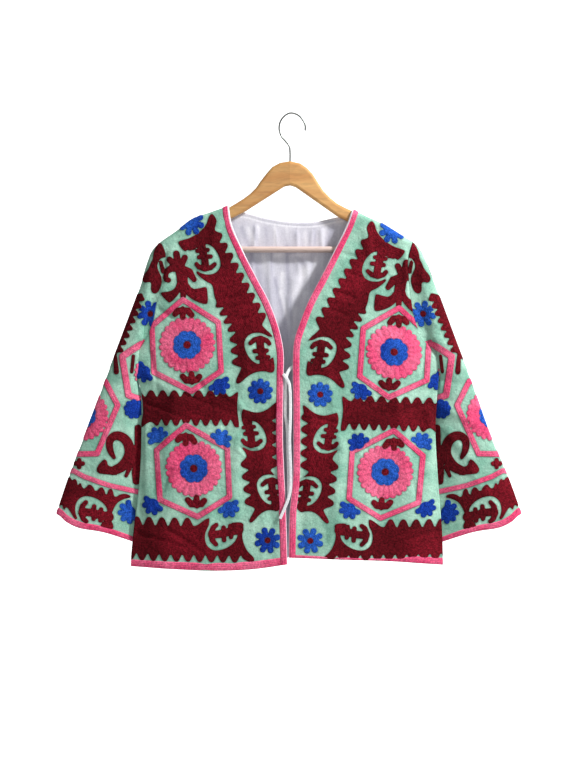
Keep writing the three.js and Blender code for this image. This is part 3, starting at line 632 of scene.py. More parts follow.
def eyelet(cloth, at, turn, flip=1, size=1.0):
    """A round opening in a maroon band with a comb left standing in it. The comb springs from
    the band in the direction "turn", and the opening meets the bare cloth on the comb's left."""
    hole = [(29, 6), (29, -2), (24, -11), (13, -20), (-1, -25.5), (-14, -26), (-25, -18), (-29, -5),
            (-27, 9), (-20, 20), (-21, 42), (20, 42), (15, 27), (25, 16)]
    comb = [
        ([(-8.5, 19.5), (-14, 15), (-17, 4), (-15.5, -7.5), (-9, -15)], [4.2, 4.6, 6.2, 4.8, 4.1]),
        ([(-16, 2), (2, 4), (16, 8), (31, 12)], [7.0, 7.2, 7.4, 9.5]),
        ([(5, 4), (4.5, 15)], [4.8, 4.2]),
        ([(17.5, 9), (16.5, 18)], [4.8, 4.2]),
        ([(5, 4), (5.5, -7.5)], [4.8, 4.2]),
        ([(17.5, 9), (18, -2)], [4.8, 4.1]),
    ]
    cloth.leave(patch(placed(hole, at, turn, flip, size)))
    sew_lines(cloth, comb, at, turn, flip, size)


def ram_horns(cloth, at, turn=0.0, flip=1, size=1.0):
    """A standing figure with a crown, one curled and one straight arm, and flared feet."""
    lines = [
        ([(-2, 18), (3, 2), (5, -18)], [10.0, 10.0, 10.0]),
        ([(-4, 14), (-19, 28)], [6.5, 5.6]),
        ([(-3, 16), (-6.6, 38.5)], [6.8, 6.0]),
        ([(0, 14), (8.5, 31.5)], [6.2, 5.6]),
        ([(-4, 13), (-16, 12), (-24, 7), (-26.5, -1), (-24.5, -7.5), (-20.5, -9)],
         [6.6, 6.2, 5.4, 5.2, 5.0, 4.6]),
        ([(4, 10), (16, 5.5), (25.5, -8)], [8.0, 7.4, 4.8]),
        ([(5, -18), (6, -40)], [6.4, 5.0]),
    ]
    sew_lines(cloth, lines, at, turn, flip, size)
    feet = [
        [(-4.4, -10), (-8.9, -23.6), (-19, -29.2), (-34.5, -30.6), (-35, -34), (-22.5, -48), (-16.5, -49.5),
         (0, -31.5), (4, -20)],
        [(13, -12), (22.6, -25.3), (35, -23.6), (46, -20.8), (49, -24), (50.8, -49), (46.5, -53),
         (30.5, -48.3), (14.8, -39), (7, -28), (5, -18)],
    ]
    for foot in feet:
        cloth.sew("maroon", patch(placed(foot, at, turn, flip, size), 1))


def cross_bar(cloth, left, right, top, bottom, count):
    """A bar across the cloth, toothed above and below, with horned corners."""
    drop = 12.0
    cloth.sew("maroon", patch([
        (left, top), (left + 1, top - 1), *teeth((left + 8, top - drop), (right - 16, top - drop), count, 14),
        (right - 14, top - drop), (right, top), (right + 2, top - 3), (right - 1, mix(top, bottom, 0.45)),
        (right + 4, bottom + 4), (right + 1, bottom - 1), (right - 5, bottom + 1),
        *teeth((right - 12, bottom + drop + 6), (left + 20, bottom + drop + 6), count + 1, 14),
        (left + 16, bottom + drop), (left + 2, bottom), (left - 2, bottom + 3), (left + 4, bottom + 22),
        (left + 3, top - 18),
    ], 2))


def hem_bar(cloth, left):
    """The bar over the hem, with an eyelet near the front opening."""
    cloth.sew("maroon", patch([
        (left, -743), *teeth((left + 6, -740), (-172, -743), round((-172 - left) / 23), 18),
        (-171, -743), (-146, -723), (-139, -729), (-146, -745), (-120, -752), (-101, -741), (-110, -733),
        (-81, -732), (-85, -748), (-85, -764), (-77, -784), (-62, -797), (-66, -806), (-84, -799),
        *teeth((-88, -790), (left + 8, -786), round((-88 - left) / 21), 15), (left, -788),
    ], 2))
    eyelet(cloth, (-123, -757), 0)


def front_band(cloth):
    """The toothed maroon band that follows the front opening, in an upper and a lower half."""
    cloth.sew("maroon", patch([
        (-146, -186), (-141, -180), (-136, -183), (-130, -194), (-136, -210),
        *teeth((-49, -378), (-137, -216), 9, -13, 0.12)[::-1], (-50, -382), (-29, -401), (-30, -410),
        (-34, -421), (-27, -449), (-28, -468), (-49, -462), (-71, -468), (-91, -487), (-99, -483),
        (-86, -457), *teeth((-88, -456), (-94, -395), 3, 15), *teeth((-95, -392), (-124, -334), 4, 14),
        (-136, -328), (-138, -308), (-152, -302), (-169, -287), (-166, -283), (-152, -287), (-160, -254),
        (-172, -244), (-188, -251), (-202, -233), (-198, -229), (-178, -224), (-158, -210), (-149, -198),
    ], 2))
    eyelet(cloth, (-149, -263), 90, size=0.95)
    eyelet(cloth, (-56, -422), -90, size=0.97)
    cloth.sew("maroon", patch([
        (-85, -530), (-79, -532), (-60, -538), (-42, -533), (-24, -517), (-22, -521),
        *teeth((-34, -638), (-34, -530), 5, -14)[::-1], (-35, -641), (-18, -656), (-20, -662),
        (-27, -672), (-22, -696), (-18, -715), (-37, -710), (-52, -716), (-68, -735), (-75, -731),
        (-62, -710), *teeth((-65, -706), (-74, -617), 4, 15), (-75, -614), (-89, -597), (-88, -589),
        (-70, -600), (-75, -560), (-88, -550),
    ], 2))
    eyelet(cloth, (-66, -579), 90, size=0.93)
    eyelet(cloth, (-35, -674), -90, size=0.93)


def front_embroidery(x, z):
    """A front's embroidery, drawn for the right front."""
    cloth = Stitches(x, z)
    cross_bar(cloth, -268, -94, -499, -565, 7)
    cross_bar(cloth, -460, -290, -499, -565, 6)
    hem_bar(cloth, -430)
    front_band(cloth)
    ram_horns(cloth, (-197, -291))
    hexagon(cloth, [(-192, -335), (-128, -376), (-123, -463), (-176, -499), (-244, -465), (-248, -382)])
    hexagon(cloth, [(-186, -560), (-112, -601), (-108, -687), (-165, -723), (-233, -693), (-239, -605)])
    rosette(cloth, (-184, -416))
    rosette(cloth, (-172, -637), turn=0.2)
    trefoil(cloth, (-192, -345), -90)
    trefoil(cloth, (-175, -489), 93)
    trefoil(cloth, (-186, -571), -92)
    trefoil(cloth, (-166, -710), 92)
    fan(cloth, (-127, -486), -60)
    fan(cloth, (-260, -463), 215)
    fan(cloth, (-236, -582), 118)
    fan(cloth, (-124, -586), 58)
    fan(cloth, (-245, -701), 235)
    fan(cloth, (-110, -705), -62)
    flower(cloth, (-53, -499), turn=0.15)
    flower(cloth, (-40, -765), 24, 8, 0.3)
    flower(cloth, (-177, -196), 24, 8, 0.5, heart=False)
    return cloth.values()


def sleeve_embroidery(x, z):
    """A sleeve's embroidery laid out flat, drawn for the right sleeve."""
    cloth = Stitches(x, z)
    cloth.sew("maroon", patch([
        (-235, -230), (-228, -237), (-220, -252), (-222, -259), (-231, -260), (-236, -266), (-238.5, -276),
        (-234, -286), (-229, -297), (-231, -311), (-237, -323), (-246, -324), (-250, -317), (-248.5, -305),
        (-252, -303), (-261, -305), (-266, -299), (-264, -291), (-254, -280), (-250, -268), (-246, -262),
        (-245, -250), (-241, -240),
    ], 2))
    cloth.sew("maroon", stroke([(-231.5, -268), (-227.5, -284)], [3.4, 4.2]))
    flower(cloth, (-251, -360), 24, 8, 0.2)
    cloth.sew("maroon", patch([
        (-266, -320), *teeth((-310, -430), (-267, -325), 8, -10)[::-1], (-311, -436), (-325, -445),
        *teeth((-345, -430), (-305, -340), 7, 10),
    ], 2))
    cloth.sew("maroon", stroke([(-314, -434), (-311.5, -464)], [3.6, 5.0]))
    hexagon(cloth, [(-264, -412), (-301, -437), (-290, -506), (-255, -520), (-222, -490), (-225, -430)], 6)
    cloth.sew("maroon", stroke([(-281, -436), (-284, -464)], 3.2))
    rosette(cloth, (-244, -466), 36)
    flower(cloth, (-281, -531), 18, 9, 0.2, heart=False)
    hexagon(cloth, [(-332, -481), (-309, -524), (-346, -611), (-420, -613), (-443, -570), (-406, -483)])
    rosette(cloth, (-371, -542), 46)
    cloth.sew("maroon", curl([
        (-316, -618, 3.4), (-322.5, -606, 6.0), (-325, -592, 6.6), (-320, -581, 7.4), (-307.6, -577.5, 8.2),
        (-294, -586, 8.6), (-287, -604.8, 9.2), (-290.9, -621, 9.4), (-302.4, -636, 9.4), (-318, -642, 8.0),
    ]))
    cloth.sew("maroon", patch([
        (-333.5, -619.5), (-328, -624), (-326.8, -632.5), (-316, -635), (-306, -650), (-328, -648.5),
        (-346.5, -646), (-347, -635),
    ], 1))
    cloth.sew("maroon", patch([(-288, -599), (-273, -594), (-273, -638), (-290, -630)]))
    cloth.sew("maroon", stroke([(-274, -565), (-273, -607), (-277, -646), (-277, -661)], [6, 7, 8, 6.5]))
    cloth.sew("maroon", stroke([(-287.5, -635), (-294.7, -651)], [4.0, 3.4]))
    for tip in ((-372, -629), (-378.5, -635), (-385, -629), (-378.5, -623)):
        cloth.sew("maroon", stroke([(-378.5, -629), tip], [4.4, 4.4]))
    cloth.sew("pink", stroke([(-470, -668), (-420, -645), (-389, -642), (-370, -652), (-325, -668),
                              (-255, -685), (-180, -690)], 4.6))
    cloth.sew("maroon", patch([
        (-396, -652), (-390.5, -660), (-387, -655), (-382, -660), (-381, -669), (-376, -661), (-371.5, -674),
        (-366, -672), (-361, -665), (-353.5, -669), (-348.5, -680), (-340, -670), (-334, -673), (-330, -688),
        (-325, -673), (-318.5, -675), (-315, -691), (-304, -683), (-291, -684), (-285, -690), (-299.9, -693),
        (-311.4, -700), (-318, -713), (-323, -727), (-316, -742), (-320, -748), (-344, -745), (-342, -737),
        (-333, -727), (-345, -732), (-378, -732), (-381, -727), (-386, -730), (-395, -714), (-401.4, -706),
        (-406.3, -714), (-409.4, -702), (-416, -707), (-430, -698), *teeth((-440, -705), (-520, -720), 5, 10),
        (-520, -680), *teeth((-516, -672), (-440, -654), 5, 11),
    ], 1))
    eyelet(cloth, (-357, -713), 180, -1)
    fan(cloth, (-288, -716), 205, 17, 6, 42)
    flower(cloth, (-235, -722), 20, 8, 0.4)
    ram_horns(cloth, (-410, -385), 10, size=0.9)
    flower(cloth, (-345, -300), 22, 8, 0.1)
    ram_horns(cloth, (-470, -610), 15, -1, size=0.85)
    flower(cloth, (-460, -455), 22, 9, 0.3)
    return cloth.values()


def back_embroidery(x, z):
    """The back's embroidery: three columns of medallions between toothed bars."""
    cloth = Stitches(x, z)
    for left, right, count in ((-266, -100, 7), (-84, 84, 7), (100, 266, 7)):
        cross_bar(cloth, left, right, -499, -563, count)
        cross_bar(cloth, left, right, -741, -802, count)
    for middle, flip in ((-184, 1), (0, 1), (184, -1)):
        for top in (-336, -572):
            corners = [(2, 0), (64, -36), (66, -124), (4, -158), (-62, -124), (-64, -36)]
            hexagon(cloth, [(middle + flip * dx, top + dz) for dx, dz in corners])
            rosette(cloth, (middle, top - 79))
            trefoil(cloth, (middle + flip * 2, top - 9), -90)
            trefoil(cloth, (middle + flip * 4, top - 149), 90)
        for height, turn in ((-484, -60), (-584, 60), (-716, -60)):
            fan(cloth, (middle + 62, height), turn)
            fan(cloth, (middle - 62, height), turn, flip=-1)
    for middle, flip in ((-190, 1), (190, -1)):
        ram_horns(cloth, (middle, -290), 0, flip)
        flower(cloth, (middle * 0.92, -216), 22, 8, 0.5)
    ram_horns(cloth, (-2, -270), 0, 1)
    for across, height in ((-92, -330), (92, -330), (-92, -620), (92, -620), (-92, -240), (92, -240)):
        flower(cloth, (across, height), 22, 9, 0.15)
    for across in (-92, 92):
        for height in (-420, -700):
            cloth.sew("maroon", patch([
                (across, height + 42), *teeth((across + 5, height + 36), (across + 5, height - 36), 5, 9),
                (across, height - 44), *teeth((across - 5, height - 36), (across - 5, height + 36), 5, 9),
            ], 2))
    return cloth.values()


# ---------------------------------------------------------------- materials


def paint(red, green, blue):
    """A screen colour as the linear one that the shaders work in."""
    levels = [level / 255 for level in (red, green, blue)]
    linear = [c / 12.92 if c <= 0.04045 else ((c + 0.055) / 1.055) ** 2.4 for c in levels]
    return (*linear, 1)


class Tree:
    """Adds and joins the nodes of one material or group."""

    def __init__(self, tree):
        self.tree = tree

    def add(self, kind, inputs=(), **settings):
        node = self.tree.nodes.new(kind)
        for key, value in settings.items():
            setattr(node, key, value)
        for socket, value in dict(inputs).items():
            if isinstance(value, bpy.types.NodeSocket):
                self.tree.links.new(value, node.inputs[socket])
            else:
                node.inputs[socket].default_value = value
        return node

    def join(self, value, socket):
        self.tree.links.new(value, socket)

    def woven(self, place):
        """The weave, on the cloth's own warp and weft."""
        inputs = {"Place": place, "Warp": self.value("warp"), "Weft": self.value("weft")}
        return self.add("ShaderNodeGroup", inputs, node_tree=WEAVE)

    def stitched(self, place):
        """The chain stitch, on the cloth's own rows of stitches."""
        inputs = {"Row": self.value("row"), "Place": place}
        return self.add("ShaderNodeGroup", inputs, node_tree=CHAIN_STITCH)

    def math(self, operation, a, b=0.5):
        return self.add("ShaderNodeMath", {0: a, 1: b}, operation=operation).outputs[0]

    def noise(self, place, scale, detail=2.0, roughness=0.5):
        inputs = {"Vector": place, "Scale": scale, "Detail": detail, "Roughness": roughness}
        return self.add("ShaderNodeTexNoise", inputs).outputs["Fac"]

    def fit(self, value, low, high, to_low=0.0, to_high=1.0):
        inputs = {"Value": value, "From Min": low, "From Max": high, "To Min": to_low, "To Max": to_high}
        return self.add("ShaderNodeMapRange", inputs).outputs["Result"]

    def blend(self, share, a, b):
        node = self.add("ShaderNodeMix", {0: share}, data_type="RGBA")
        for socket, value in ((node.inputs[6], a), (node.inputs[7], b)):
            if isinstance(value, bpy.types.NodeSocket):
                self.tree.links.new(value, socket)
            else:
                socket.default_value = value
        return node.outputs[2]

    def darken(self, colour, amount):
        """The colour scaled by a value."""
        node = self.add("ShaderNodeVectorMath", {0: colour}, operation="SCALE")
        self.tree.links.new(amount, node.inputs["Scale"])
        return node.outputs[0]

    def value(self, name):
        return self.add("ShaderNodeAttribute", attribute_name=name).outputs["Fac"]

    def place(self):
        return self.add("ShaderNodeTexCoord").outputs["Object"]


def new_group(name, inputs, outputs):
    group = bpy.data.node_groups.new(name, "ShaderNodeTree")
    for key, kind in inputs:
        group.interface.new_socket(name=key, in_out="INPUT", socket_type=kind)
    for key, kind in outputs:
        group.interface.new_socket(name=key, in_out="OUTPUT", socket_type=kind)
    tree = Tree(group)
    return group, tree, tree.add("NodeGroupInput"), tree.add("NodeGroupOutput")


def make_chain_stitch():
    """Rows of looped stitches: their height, the painted shade and light that their relief gives the thread,
    and its fine grain.
    """
    group, tree, start, end = new_group(
        "chain stitch",
        [("Row", "NodeSocketFloat"), ("Place", "NodeSocketVector")],
        [("Height", "NodeSocketFloat"), ("Light", "NodeSocketFloat"), ("Grain", "NodeSocketFloat")],
    )
    wobble = tree.noise(start.outputs["Place"], 160.0, 1.0)
    row = tree.math("ADD", start.outputs["Row"], tree.fit(wobble, 0.0, 1.0, -0.5, 0.5))
    ridge = tree.math("ABSOLUTE", tree.math("SINE", tree.math("MULTIPLY", row, math.pi / STITCH_ROW)))
    loops = tree.add("ShaderNodeTexVoronoi", {"Vector": start.outputs["Place"], "Scale": 300.0})
    loop = tree.fit(loops.outputs["Distance"], 0.0, 0.6, 1.0, 0.0)
    fine = tree.noise(start.outputs["Place"], 260.0, 3.0, 0.8)
    height = tree.math("ADD", tree.math("MULTIPLY", ridge, 0.6), tree.math("MULTIPLY", loop, 0.5))
    height = tree.math("ADD", height, tree.math("MULTIPLY", fine, 1.2))
    tree.join(height, end.inputs["Height"])
    # Painted shade and light: the thread is darker where its stitches lie low and lighter where they stand
    # high.
    tree.join(tree.fit(height, 0.5, 1.6, 0.66, 1.12), end.inputs["Light"])
    tree.join(tree.fit(fine, 0.38, 0.62, -1.0, 1.0), end.inputs["Grain"])
    return group


def make_weave():
    """Plain-weave cotton with slubs and small creases."""
    group, tree, start, end = new_group(
        "plain weave",
        [("Place", "NodeSocketVector"), ("Warp", "NodeSocketFloat"), ("Weft", "NodeSocketFloat")],
        [("Height", "NodeSocketFloat"), ("Light", "NodeSocketFloat")],
    )
    over = tree.math("SINE", tree.math("MULTIPLY", start.outputs["Warp"], math.pi / 0.45))
    under = tree.math("SINE", tree.math("MULTIPLY", start.outputs["Weft"], math.pi / 0.45))
    weave = tree.math("MULTIPLY", over, under)
    slub = tree.noise(start.outputs["Place"], 330.0, 3.0, 0.8)
    height = tree.math("ADD", tree.math("MULTIPLY", weave, 0.12), tree.math("MULTIPLY", slub, 0.5))
    # Painted light and shade over the yarn's own uneven tone: the cloth is lighter where its slubs and
    # crossing threads stand high.
    light = tree.math("ADD", tree.fit(slub, 0.36, 0.64, 0.84, 1.12), tree.math("MULTIPLY", weave, 0.02))
    tree.join(height, end.inputs["Height"])
    tree.join(light, end.inputs["Light"])
    return group


CHAIN_STITCH = make_chain_stitch()
WEAVE = make_weave()


def new_material(name, roughness, **shader_inputs):
    material = bpy.data.materials.new(name)
    material.use_nodes = True
    material.node_tree.nodes.clear()
    tree = Tree(material.node_tree)
    inputs = {"Roughness": roughness, **shader_inputs}
    shader = tree.add("ShaderNodeBsdfPrincipled", inputs)
    out = tree.add("ShaderNodeOutputMaterial")
    tree.join(shader.outputs[0], out.inputs["Surface"])
    return material, tree, shader


def finish_material(tree, shader, colour, height, depth):
    tree.join(colour, shader.inputs["Base Color"])
    inputs = {"Height": height, "Distance": depth * MM, "Strength": 1.0}
    bump = tree.add("ShaderNodeBump", inputs)
    tree.join(bump.outputs[0], shader.inputs["Normal"])


CLOTH_SHEEN = {"Sheen Weight": 0.03, "Sheen Roughness": 0.5, "Specular IOR Level": 0.06}


# The painted shade and light of the stitch relief, with the thread's own fine grain.
def stitch_shade_and_grain(tree, stitch, grain):
    return tree.math("ADD", stitch.outputs["Light"], tree.math("MULTIPLY", stitch.outputs["Grain"], grain))


def make_embroidered_cotton():
    """Mint cotton with maroon, pink and blue chain stitch where the cloth's own values say."""
    material, tree, shader = new_material("embroidered cotton", 0.9, **CLOTH_SHEEN)
    place = tree.place()
    stitch = tree.stitched(place)
    weave = tree.woven(place)
    # Painted sheen: the maroon is mottled between a darker and a lighter tone; the blue takes its two tones
    # from the same patches.
    sheen_and_tone_patches = tree.noise(place, 9.0, 2.0, 0.45)
    # Painted light and shade: the mint and the pink are mottled between a shaded and a lit tone.
    painted_light_cloud = tree.noise(place, 22.0, 3.0, 0.55)
    mint = tree.blend(tree.fit(painted_light_cloud, 0.35, 0.65), paint(138, 192, 170), paint(182, 224, 203))
    # Painted shade on the mint beside the raised embroidery.
    shade_beside_stitches = tree.fit(tree.value("depth"), -3.0, -0.2, 1.0, 0.64)
    mint = tree.darken(mint, tree.math("MULTIPLY", shade_beside_stitches, weave.outputs["Light"]))
    maroon = tree.blend(tree.fit(sheen_and_tone_patches, 0.40, 0.60), paint(94, 14, 24), paint(122, 20, 34))
    pink = tree.blend(tree.fit(painted_light_cloud, 0.35, 0.65), paint(238, 78, 124), paint(252, 120, 156))
    blue = tree.blend(tree.fit(sheen_and_tone_patches, 0.42, 0.58), paint(24, 62, 164), paint(44, 98, 200))
    colour = mint
    for name, thread, grain in (("maroon", maroon, 0.36), ("pink", pink, 0.14), ("blue", blue, 0.3)):
        depth = tree.value(name)
        # Each thread is darker towards the edge of its motif, and takes the painted shade and light of its
        # stitch relief.
        edge = tree.fit(depth, 0.2, 2.0, 0.66, 1.0)
        light = tree.math("MULTIPLY", edge, stitch_shade_and_grain(tree, stitch, grain))
        colour = tree.blend(tree.fit(depth, -0.2, 0.2), colour, tree.darken(thread, light))
    raised = tree.fit(tree.value("depth"), -0.3, 0.3)
    height = tree.add("ShaderNodeMix", {0: raised, 2: weave.outputs["Height"], 3: stitch.outputs["Height"]})
    pucker = tree.fit(tree.noise(place, 58.0, 5.0, 0.62), 0.3, 0.7, 0.0, PUCKER)
    finish_material(tree, shader, colour, tree.math("ADD", height.outputs[0], pucker), 0.55)
    return material


def make_cotton(name, light, shade, bump=0.6):
    """Plain cotton of one colour."""
    material, tree, shader = new_material(name, 0.92, **CLOTH_SHEEN)
    place = tree.place()
    weave = tree.woven(place)
    colour = tree.blend(tree.fit(tree.noise(place, 16.0, 3.0), 0.35, 0.65), shade, light)
    colour = tree.darken(colour, weave.outputs["Light"])
    finish_material(tree, shader, colour, weave.outputs["Height"], bump)
    return material


def make_lining_cotton():
    """White cotton, lit unevenly where its pleats catch the light."""
    material, tree, shader = new_material("pleated lining", 0.92, **CLOTH_SHEEN)
    place = tree.place()
    weave = tree.woven(place)
    # Painted light and shade in streaks along the pleats: the lining's own streak values and a noise
    # stretched down the cloth.
    hanging = tree.add("ShaderNodeMapping", {"Vector": place, "Scale": (1, 1, 0.16)})
    streaks = tree.noise(hanging.outputs[0], 75.0, 3.0, 0.6)
    share = tree.math("ADD", tree.value("pleat_shading"), tree.fit(streaks, 0.3, 0.7, -0.3, 0.3))
    colour = tree.blend(tree.fit(share, -1.0, 1.0), paint(184, 182, 200), paint(250, 248, 255))
    colour = tree.darken(colour, tree.fit(weave.outputs["Light"], 0.8, 1.15, 0.9, 1.06))
    finish_material(tree, shader, colour, weave.outputs["Height"], 0.4)
    return material


def make_border_thread():
    """Pink chain stitch in close rows."""
    material, tree, shader = new_material("border stitches", 0.9, **CLOTH_SHEEN)
    place = tree.place()
    stitch = tree.stitched(place)
    # Painted light and shade: the pink is mottled between a shaded and a lit tone, with the painted shade of
    # its stitch relief.
    painted_light_cloud = tree.noise(place, 26.0, 2.0)
    colour = tree.blend(tree.fit(painted_light_cloud, 0.35, 0.65), paint(236, 76, 122), paint(250, 116, 154))
    colour = tree.darken(colour, stitch_shade_and_grain(tree, stitch, 0.17))
    colour = tree.blend(tree.value("piping"), colour, paint(238, 236, 244))
    finish_material(tree, shader, colour, stitch.outputs["Height"], 0.6)
    return material


def make_wood(name, light, dark, along, roughness, other_half):
    """Varnished wood with its grain along one direction, and its other half a little darker."""
    material, tree, shader = new_material(name, roughness, **{"Coat Weight": 0.15, "Coat Roughness": 0.3})
    place = tree.add("ShaderNodeMapping", {"Vector": tree.place(), "Scale": along})
    grain = tree.noise(place.outputs[0], 60.0, 4.0, 0.6)
    pores = tree.noise(place.outputs[0], 260.0, 2.0, 0.7)
    colour = tree.blend(tree.fit(grain, 0.35, 0.65), dark, light)
    colour = tree.darken(colour, tree.fit(pores, 0.35, 0.5, 0.86, 1.0))
    joint = tree.add("ShaderNodeSeparateXYZ", {0: tree.place()}).outputs[0]
    colour = tree.darken(colour, tree.fit(joint, -0.0005, 0.0005, other_half, 1.0))
    finish_material(tree, shader, colour, grain, 0.12)
    return material


def make_steel():
    material, tree, shader = new_material("bright wire", 0.34, Metallic=1.0)
    drawn = tree.noise(tree.place(), 300.0, 3.0)
    colour = tree.blend(tree.fit(drawn, 0.3, 0.7), paint(84, 90, 86), paint(128, 132, 128))
    finish_material(tree, shader, colour, drawn, 0.03)
    return material


EMBROIDERED = make_embroidered_cotton()
LINING_COTTON = make_cotton("white lining", paint(226, 224, 236), paint(208, 206, 220))
PLEATED_LINING = make_lining_cotton()
TAPE = make_cotton("white tape", paint(250, 250, 251), paint(240, 240, 244), 0.3)
BORDER_THREAD = make_border_thread()
WOOD = make_wood("varnished wood", paint(228, 176, 108), paint(208, 148, 84), (0.12, 1, 0.7), 0.42, 0.88)
BAR_WOOD = make_wood("pale bar wood", paint(226, 202, 192), paint(206, 178, 168), (0.1, 1, 1), 0.6, 1.0)
STEEL = make_steel()

# ---------------------------------------------------------------- cloth pieces

# Soft creases: from, to, half width and height, along the cloth's outward direction.
CREASES_RIGHT = [
    (-128, -196, -168, -330, 9, 1.8), (-212, -236, -226, -330, 8, 1.5), (-75, -410, -92, -560, 10, 1.6),
    (-118, -500, -60, -545, 6, 1.2), (-94, -585, -104, -800, 11, 2.0), (-205, -500, -225, -640, 12, 1.6),
    (-262, -560, -250, -760, 10, 1.8), (-146, -690, -150, -815, 12, 1.5), (-30, -530, -34, -790, 9, -1.5),
    (-88, -528, -58, -560, 4, 0.9), (-92, -600, -70, -640, 5, 0.9), (-256, -470, -190, -520, 8, 1.2),
    (-110, -334, -66, -320, 3.4, -1.5), (-112, -325, -70, -312, 4, 1.3), (-106, -350, -70, -341, 3.4, -1.3),
    (-140, -300, -108, -292, 3.4, -1.2), (-120, -262, -96, -258, 3.6, -1.1),
    (-92, -372, -62, -362, 3.4, -1.2),
    (-82, -560, -44, -548, 3.4, -1.2), (-86, -600, -50, -610, 3.6, -1.3), (-262, -520, -180, -548, 4, -1.2),
    (-190, -505, -100, -540, 4, -1.2), (-280, -752, -180, -780, 4, -1.3), (-220, -745, -150, -790, 4, -1.2),
    (-250, -430, -236, -500, 5, -1.3), (-170, -470, -140, -520, 5, -1.2), (-215, -640, -236, -700, 5, -1.3),
    (-206, -226, -150, -210, 5, -1.2), (-240, -350, -205, -372, 5, -1.3), (-116, -560, -122, -640, 5, -1.3),
]
CREASES_LEFT = [
    (135, -210, 160, -330, 9, 1.8), (205, -240, 214, -350, 8, 1.5), (60, -420, 84, -570, 10, 1.6),
    (98, -505, 52, -550, 6, 1.2), (90, -585, 78, -800, 11, 2.0), (190, -510, 214, -650, 12, 1.6),
    (250, -540, 246, -760, 10, 1.8), (140, -690, 132, -795, 12, 1.6), (24, -530, 20, -780, 9, -1.4),
    (80, -535, 52, -566, 4, 0.9), (96, -715, 58, -790, 7, 1.1), (244, -480, 180, -530, 8, 1.2),
    (112, -330, 70, -316, 3.4, -1.5), (108, -342, 66, -330, 4, 1.2), (100, -362, 66, -350, 3.4, -1.3),
    (134, -296, 102, -286, 3.4, -1.2), (118, -258, 92, -252, 3.6, -1.1), (152, -236, 128, -262, 4, -1.2),
    (84, -556, 40, -546, 3.4, -1.2), (84, -604, 50, -596, 3.6, -1.3), (256, -520, 180, -540, 4, -1.2),
    (186, -508, 100, -536, 4, -1.2), (270, -748, 176, -776, 4, -1.3), (214, -742, 150, -784, 4, -1.2),
    (246, -424, 232, -496, 5, -1.3), (168, -468, 138, -516, 5, -1.2), (212, -636, 232, -700, 5, -1.3),
    (204, -226, 150, -206, 5, -1.2), (236, -350, 200, -368, 5, -1.3), (112, -560, 118, -636, 5, -1.3),
]
CREASES_BACK = [
    (-200, -240, -150, -420, 14, 2.0), (200, -240, 160, -420, 14, 2.0), (-60, -230, -40, -430, 14, 1.8),
    (70, -240, 50, -450, 13, 1.8), (-230, -470, -120, -560, 12, 1.8), (235, -470, 130, -560, 12, 1.8),
    (-150, -560, -165, -810, 14, 2.2), (-20, -540, -10, -812, 15, 2.0), (140, -570, 150, -808, 14, 2.2),
    (-250, -620, -255, -800, 10, 1.6), (250, -620, 252, -800, 10, 1.6), (-90, -200, 90, -214, 9, 1.0),
]
# On a sleeve they are laid out as its embroidery is.
CREASES_SLEEVE = [
    (-250, -290, -275, -400, 8, 1.6), (-262, -400, -330, -440, 9, 1.8), (-255, -470, -330, -490, 8, -1.6),
    (-270, -520, -350, -560, 9, 1.6), (-290, -570, -345, -640, 8, 1.4), (-262, -600, -270, -700, 8, 1.3),
    (-330, -640, -372, -700, 8, 1.2), (-380, -400, -440, -440, 12, 2.0), (-400, -500, -480, -520, 12, 1.8),
    (-440, -580, -500, -640, 12, 1.8), (-350, -330, -400, -370, 10, 1.6),
]


def crease_height(x, z, creases):
    height = numpy.zeros_like(x)
    for x0, z0, x1, z1, width, rise in creases:
        run = (x1 - x0) ** 2 + (z1 - z0) ** 2
        share = numpy.clip(((x - x0) * (x1 - x0) + (z - z0) * (z1 - z0)) / run, 0, 1)
        away = numpy.hypot(x - mix(x0, x1, share), z - mix(z0, z1, share))
        height = height + rise * numpy.exp(-((away / width) ** 2)) * (1 - 0.6 * share ** 2)
    return height


def cloth_piece(name, points, outward, values, crease, bare=None):
    """A cloth face of grid points with its embroidery raised and its creases laid in."""
    normal = grid_normals(points)
    inside_out = (normal * outward).sum() < 0
    raised = ease(-0.5, 1.1, values["depth"].reshape(points.shape[:2])) if "depth" in values else 0
    lift = (STITCH_HEIGHT * raised + crease)[..., None]
    face = points + normal * (-lift if inside_out else lift)
    values = {key: numpy.reshape(value, points.shape[:2]) for key, value in values.items()}
    values["warp"] = walked(points, 1)
    values["weft"] = walked(points, 0)
    if inside_out:
        face = face[:, ::-1]
        values = {key: value[:, ::-1] for key, value in values.items()}
        bare = None if bare is None else bare[:, ::-1]
    return grid_piece(name, face, values, bare)


def left_as_right(x, z):
    """Where a place on the left front is in the drawing for the right front."""
    drop = numpy.clip((z + 200) / -600, 0, 1)
    outer = numpy.clip((numpy.abs(x) - 40) / 200, 0, 1)
    return 6.3 - 10.8 * drop - x, z + 1.8 * mix(4, 10, outer) * (1 - drop ** 2)


def make_front(side, creases):
    turn, fall = panel_rows(2.2)
    across = numpy.linspace(0, 1, 120)
    points = front_surface(side, across[None], turn[:, None], fall[:, None])
    x = points[..., 0]
    z = points[..., 2]
    drawn = (x, z) if side["sign"] < 0 else left_as_right(x, z)
    edge = ease(0, 0.04, across) * (1 - ease(0.96, 1, across))
    crease = CREASE_RISE * crease_height(x, z, creases) * edge[None] * ease(0, 0.03, fall)[:, None]
    name = "front_" + side["name"]
    piece = cloth_piece(name + ".cloth", points, (0, -1, 0), front_embroidery(*drawn), crease)
    thicken(piece, CLOTH)
    finish_piece(piece, [name], "embroidered_cotton", EMBROIDERED, LINING_COTTON)
    return piece


def rounded_band(across):
    """Height of a sewn band over the cloth, from one edge at -1 to the other at 1."""
    return BAND_LIFT + (SEAM + BORDER_THICKNESS) * (1 - numpy.abs(across) ** 4)


def across_band(band):
    return ((band + 1) / 2 * BORDER_WIDTH)[:, None]


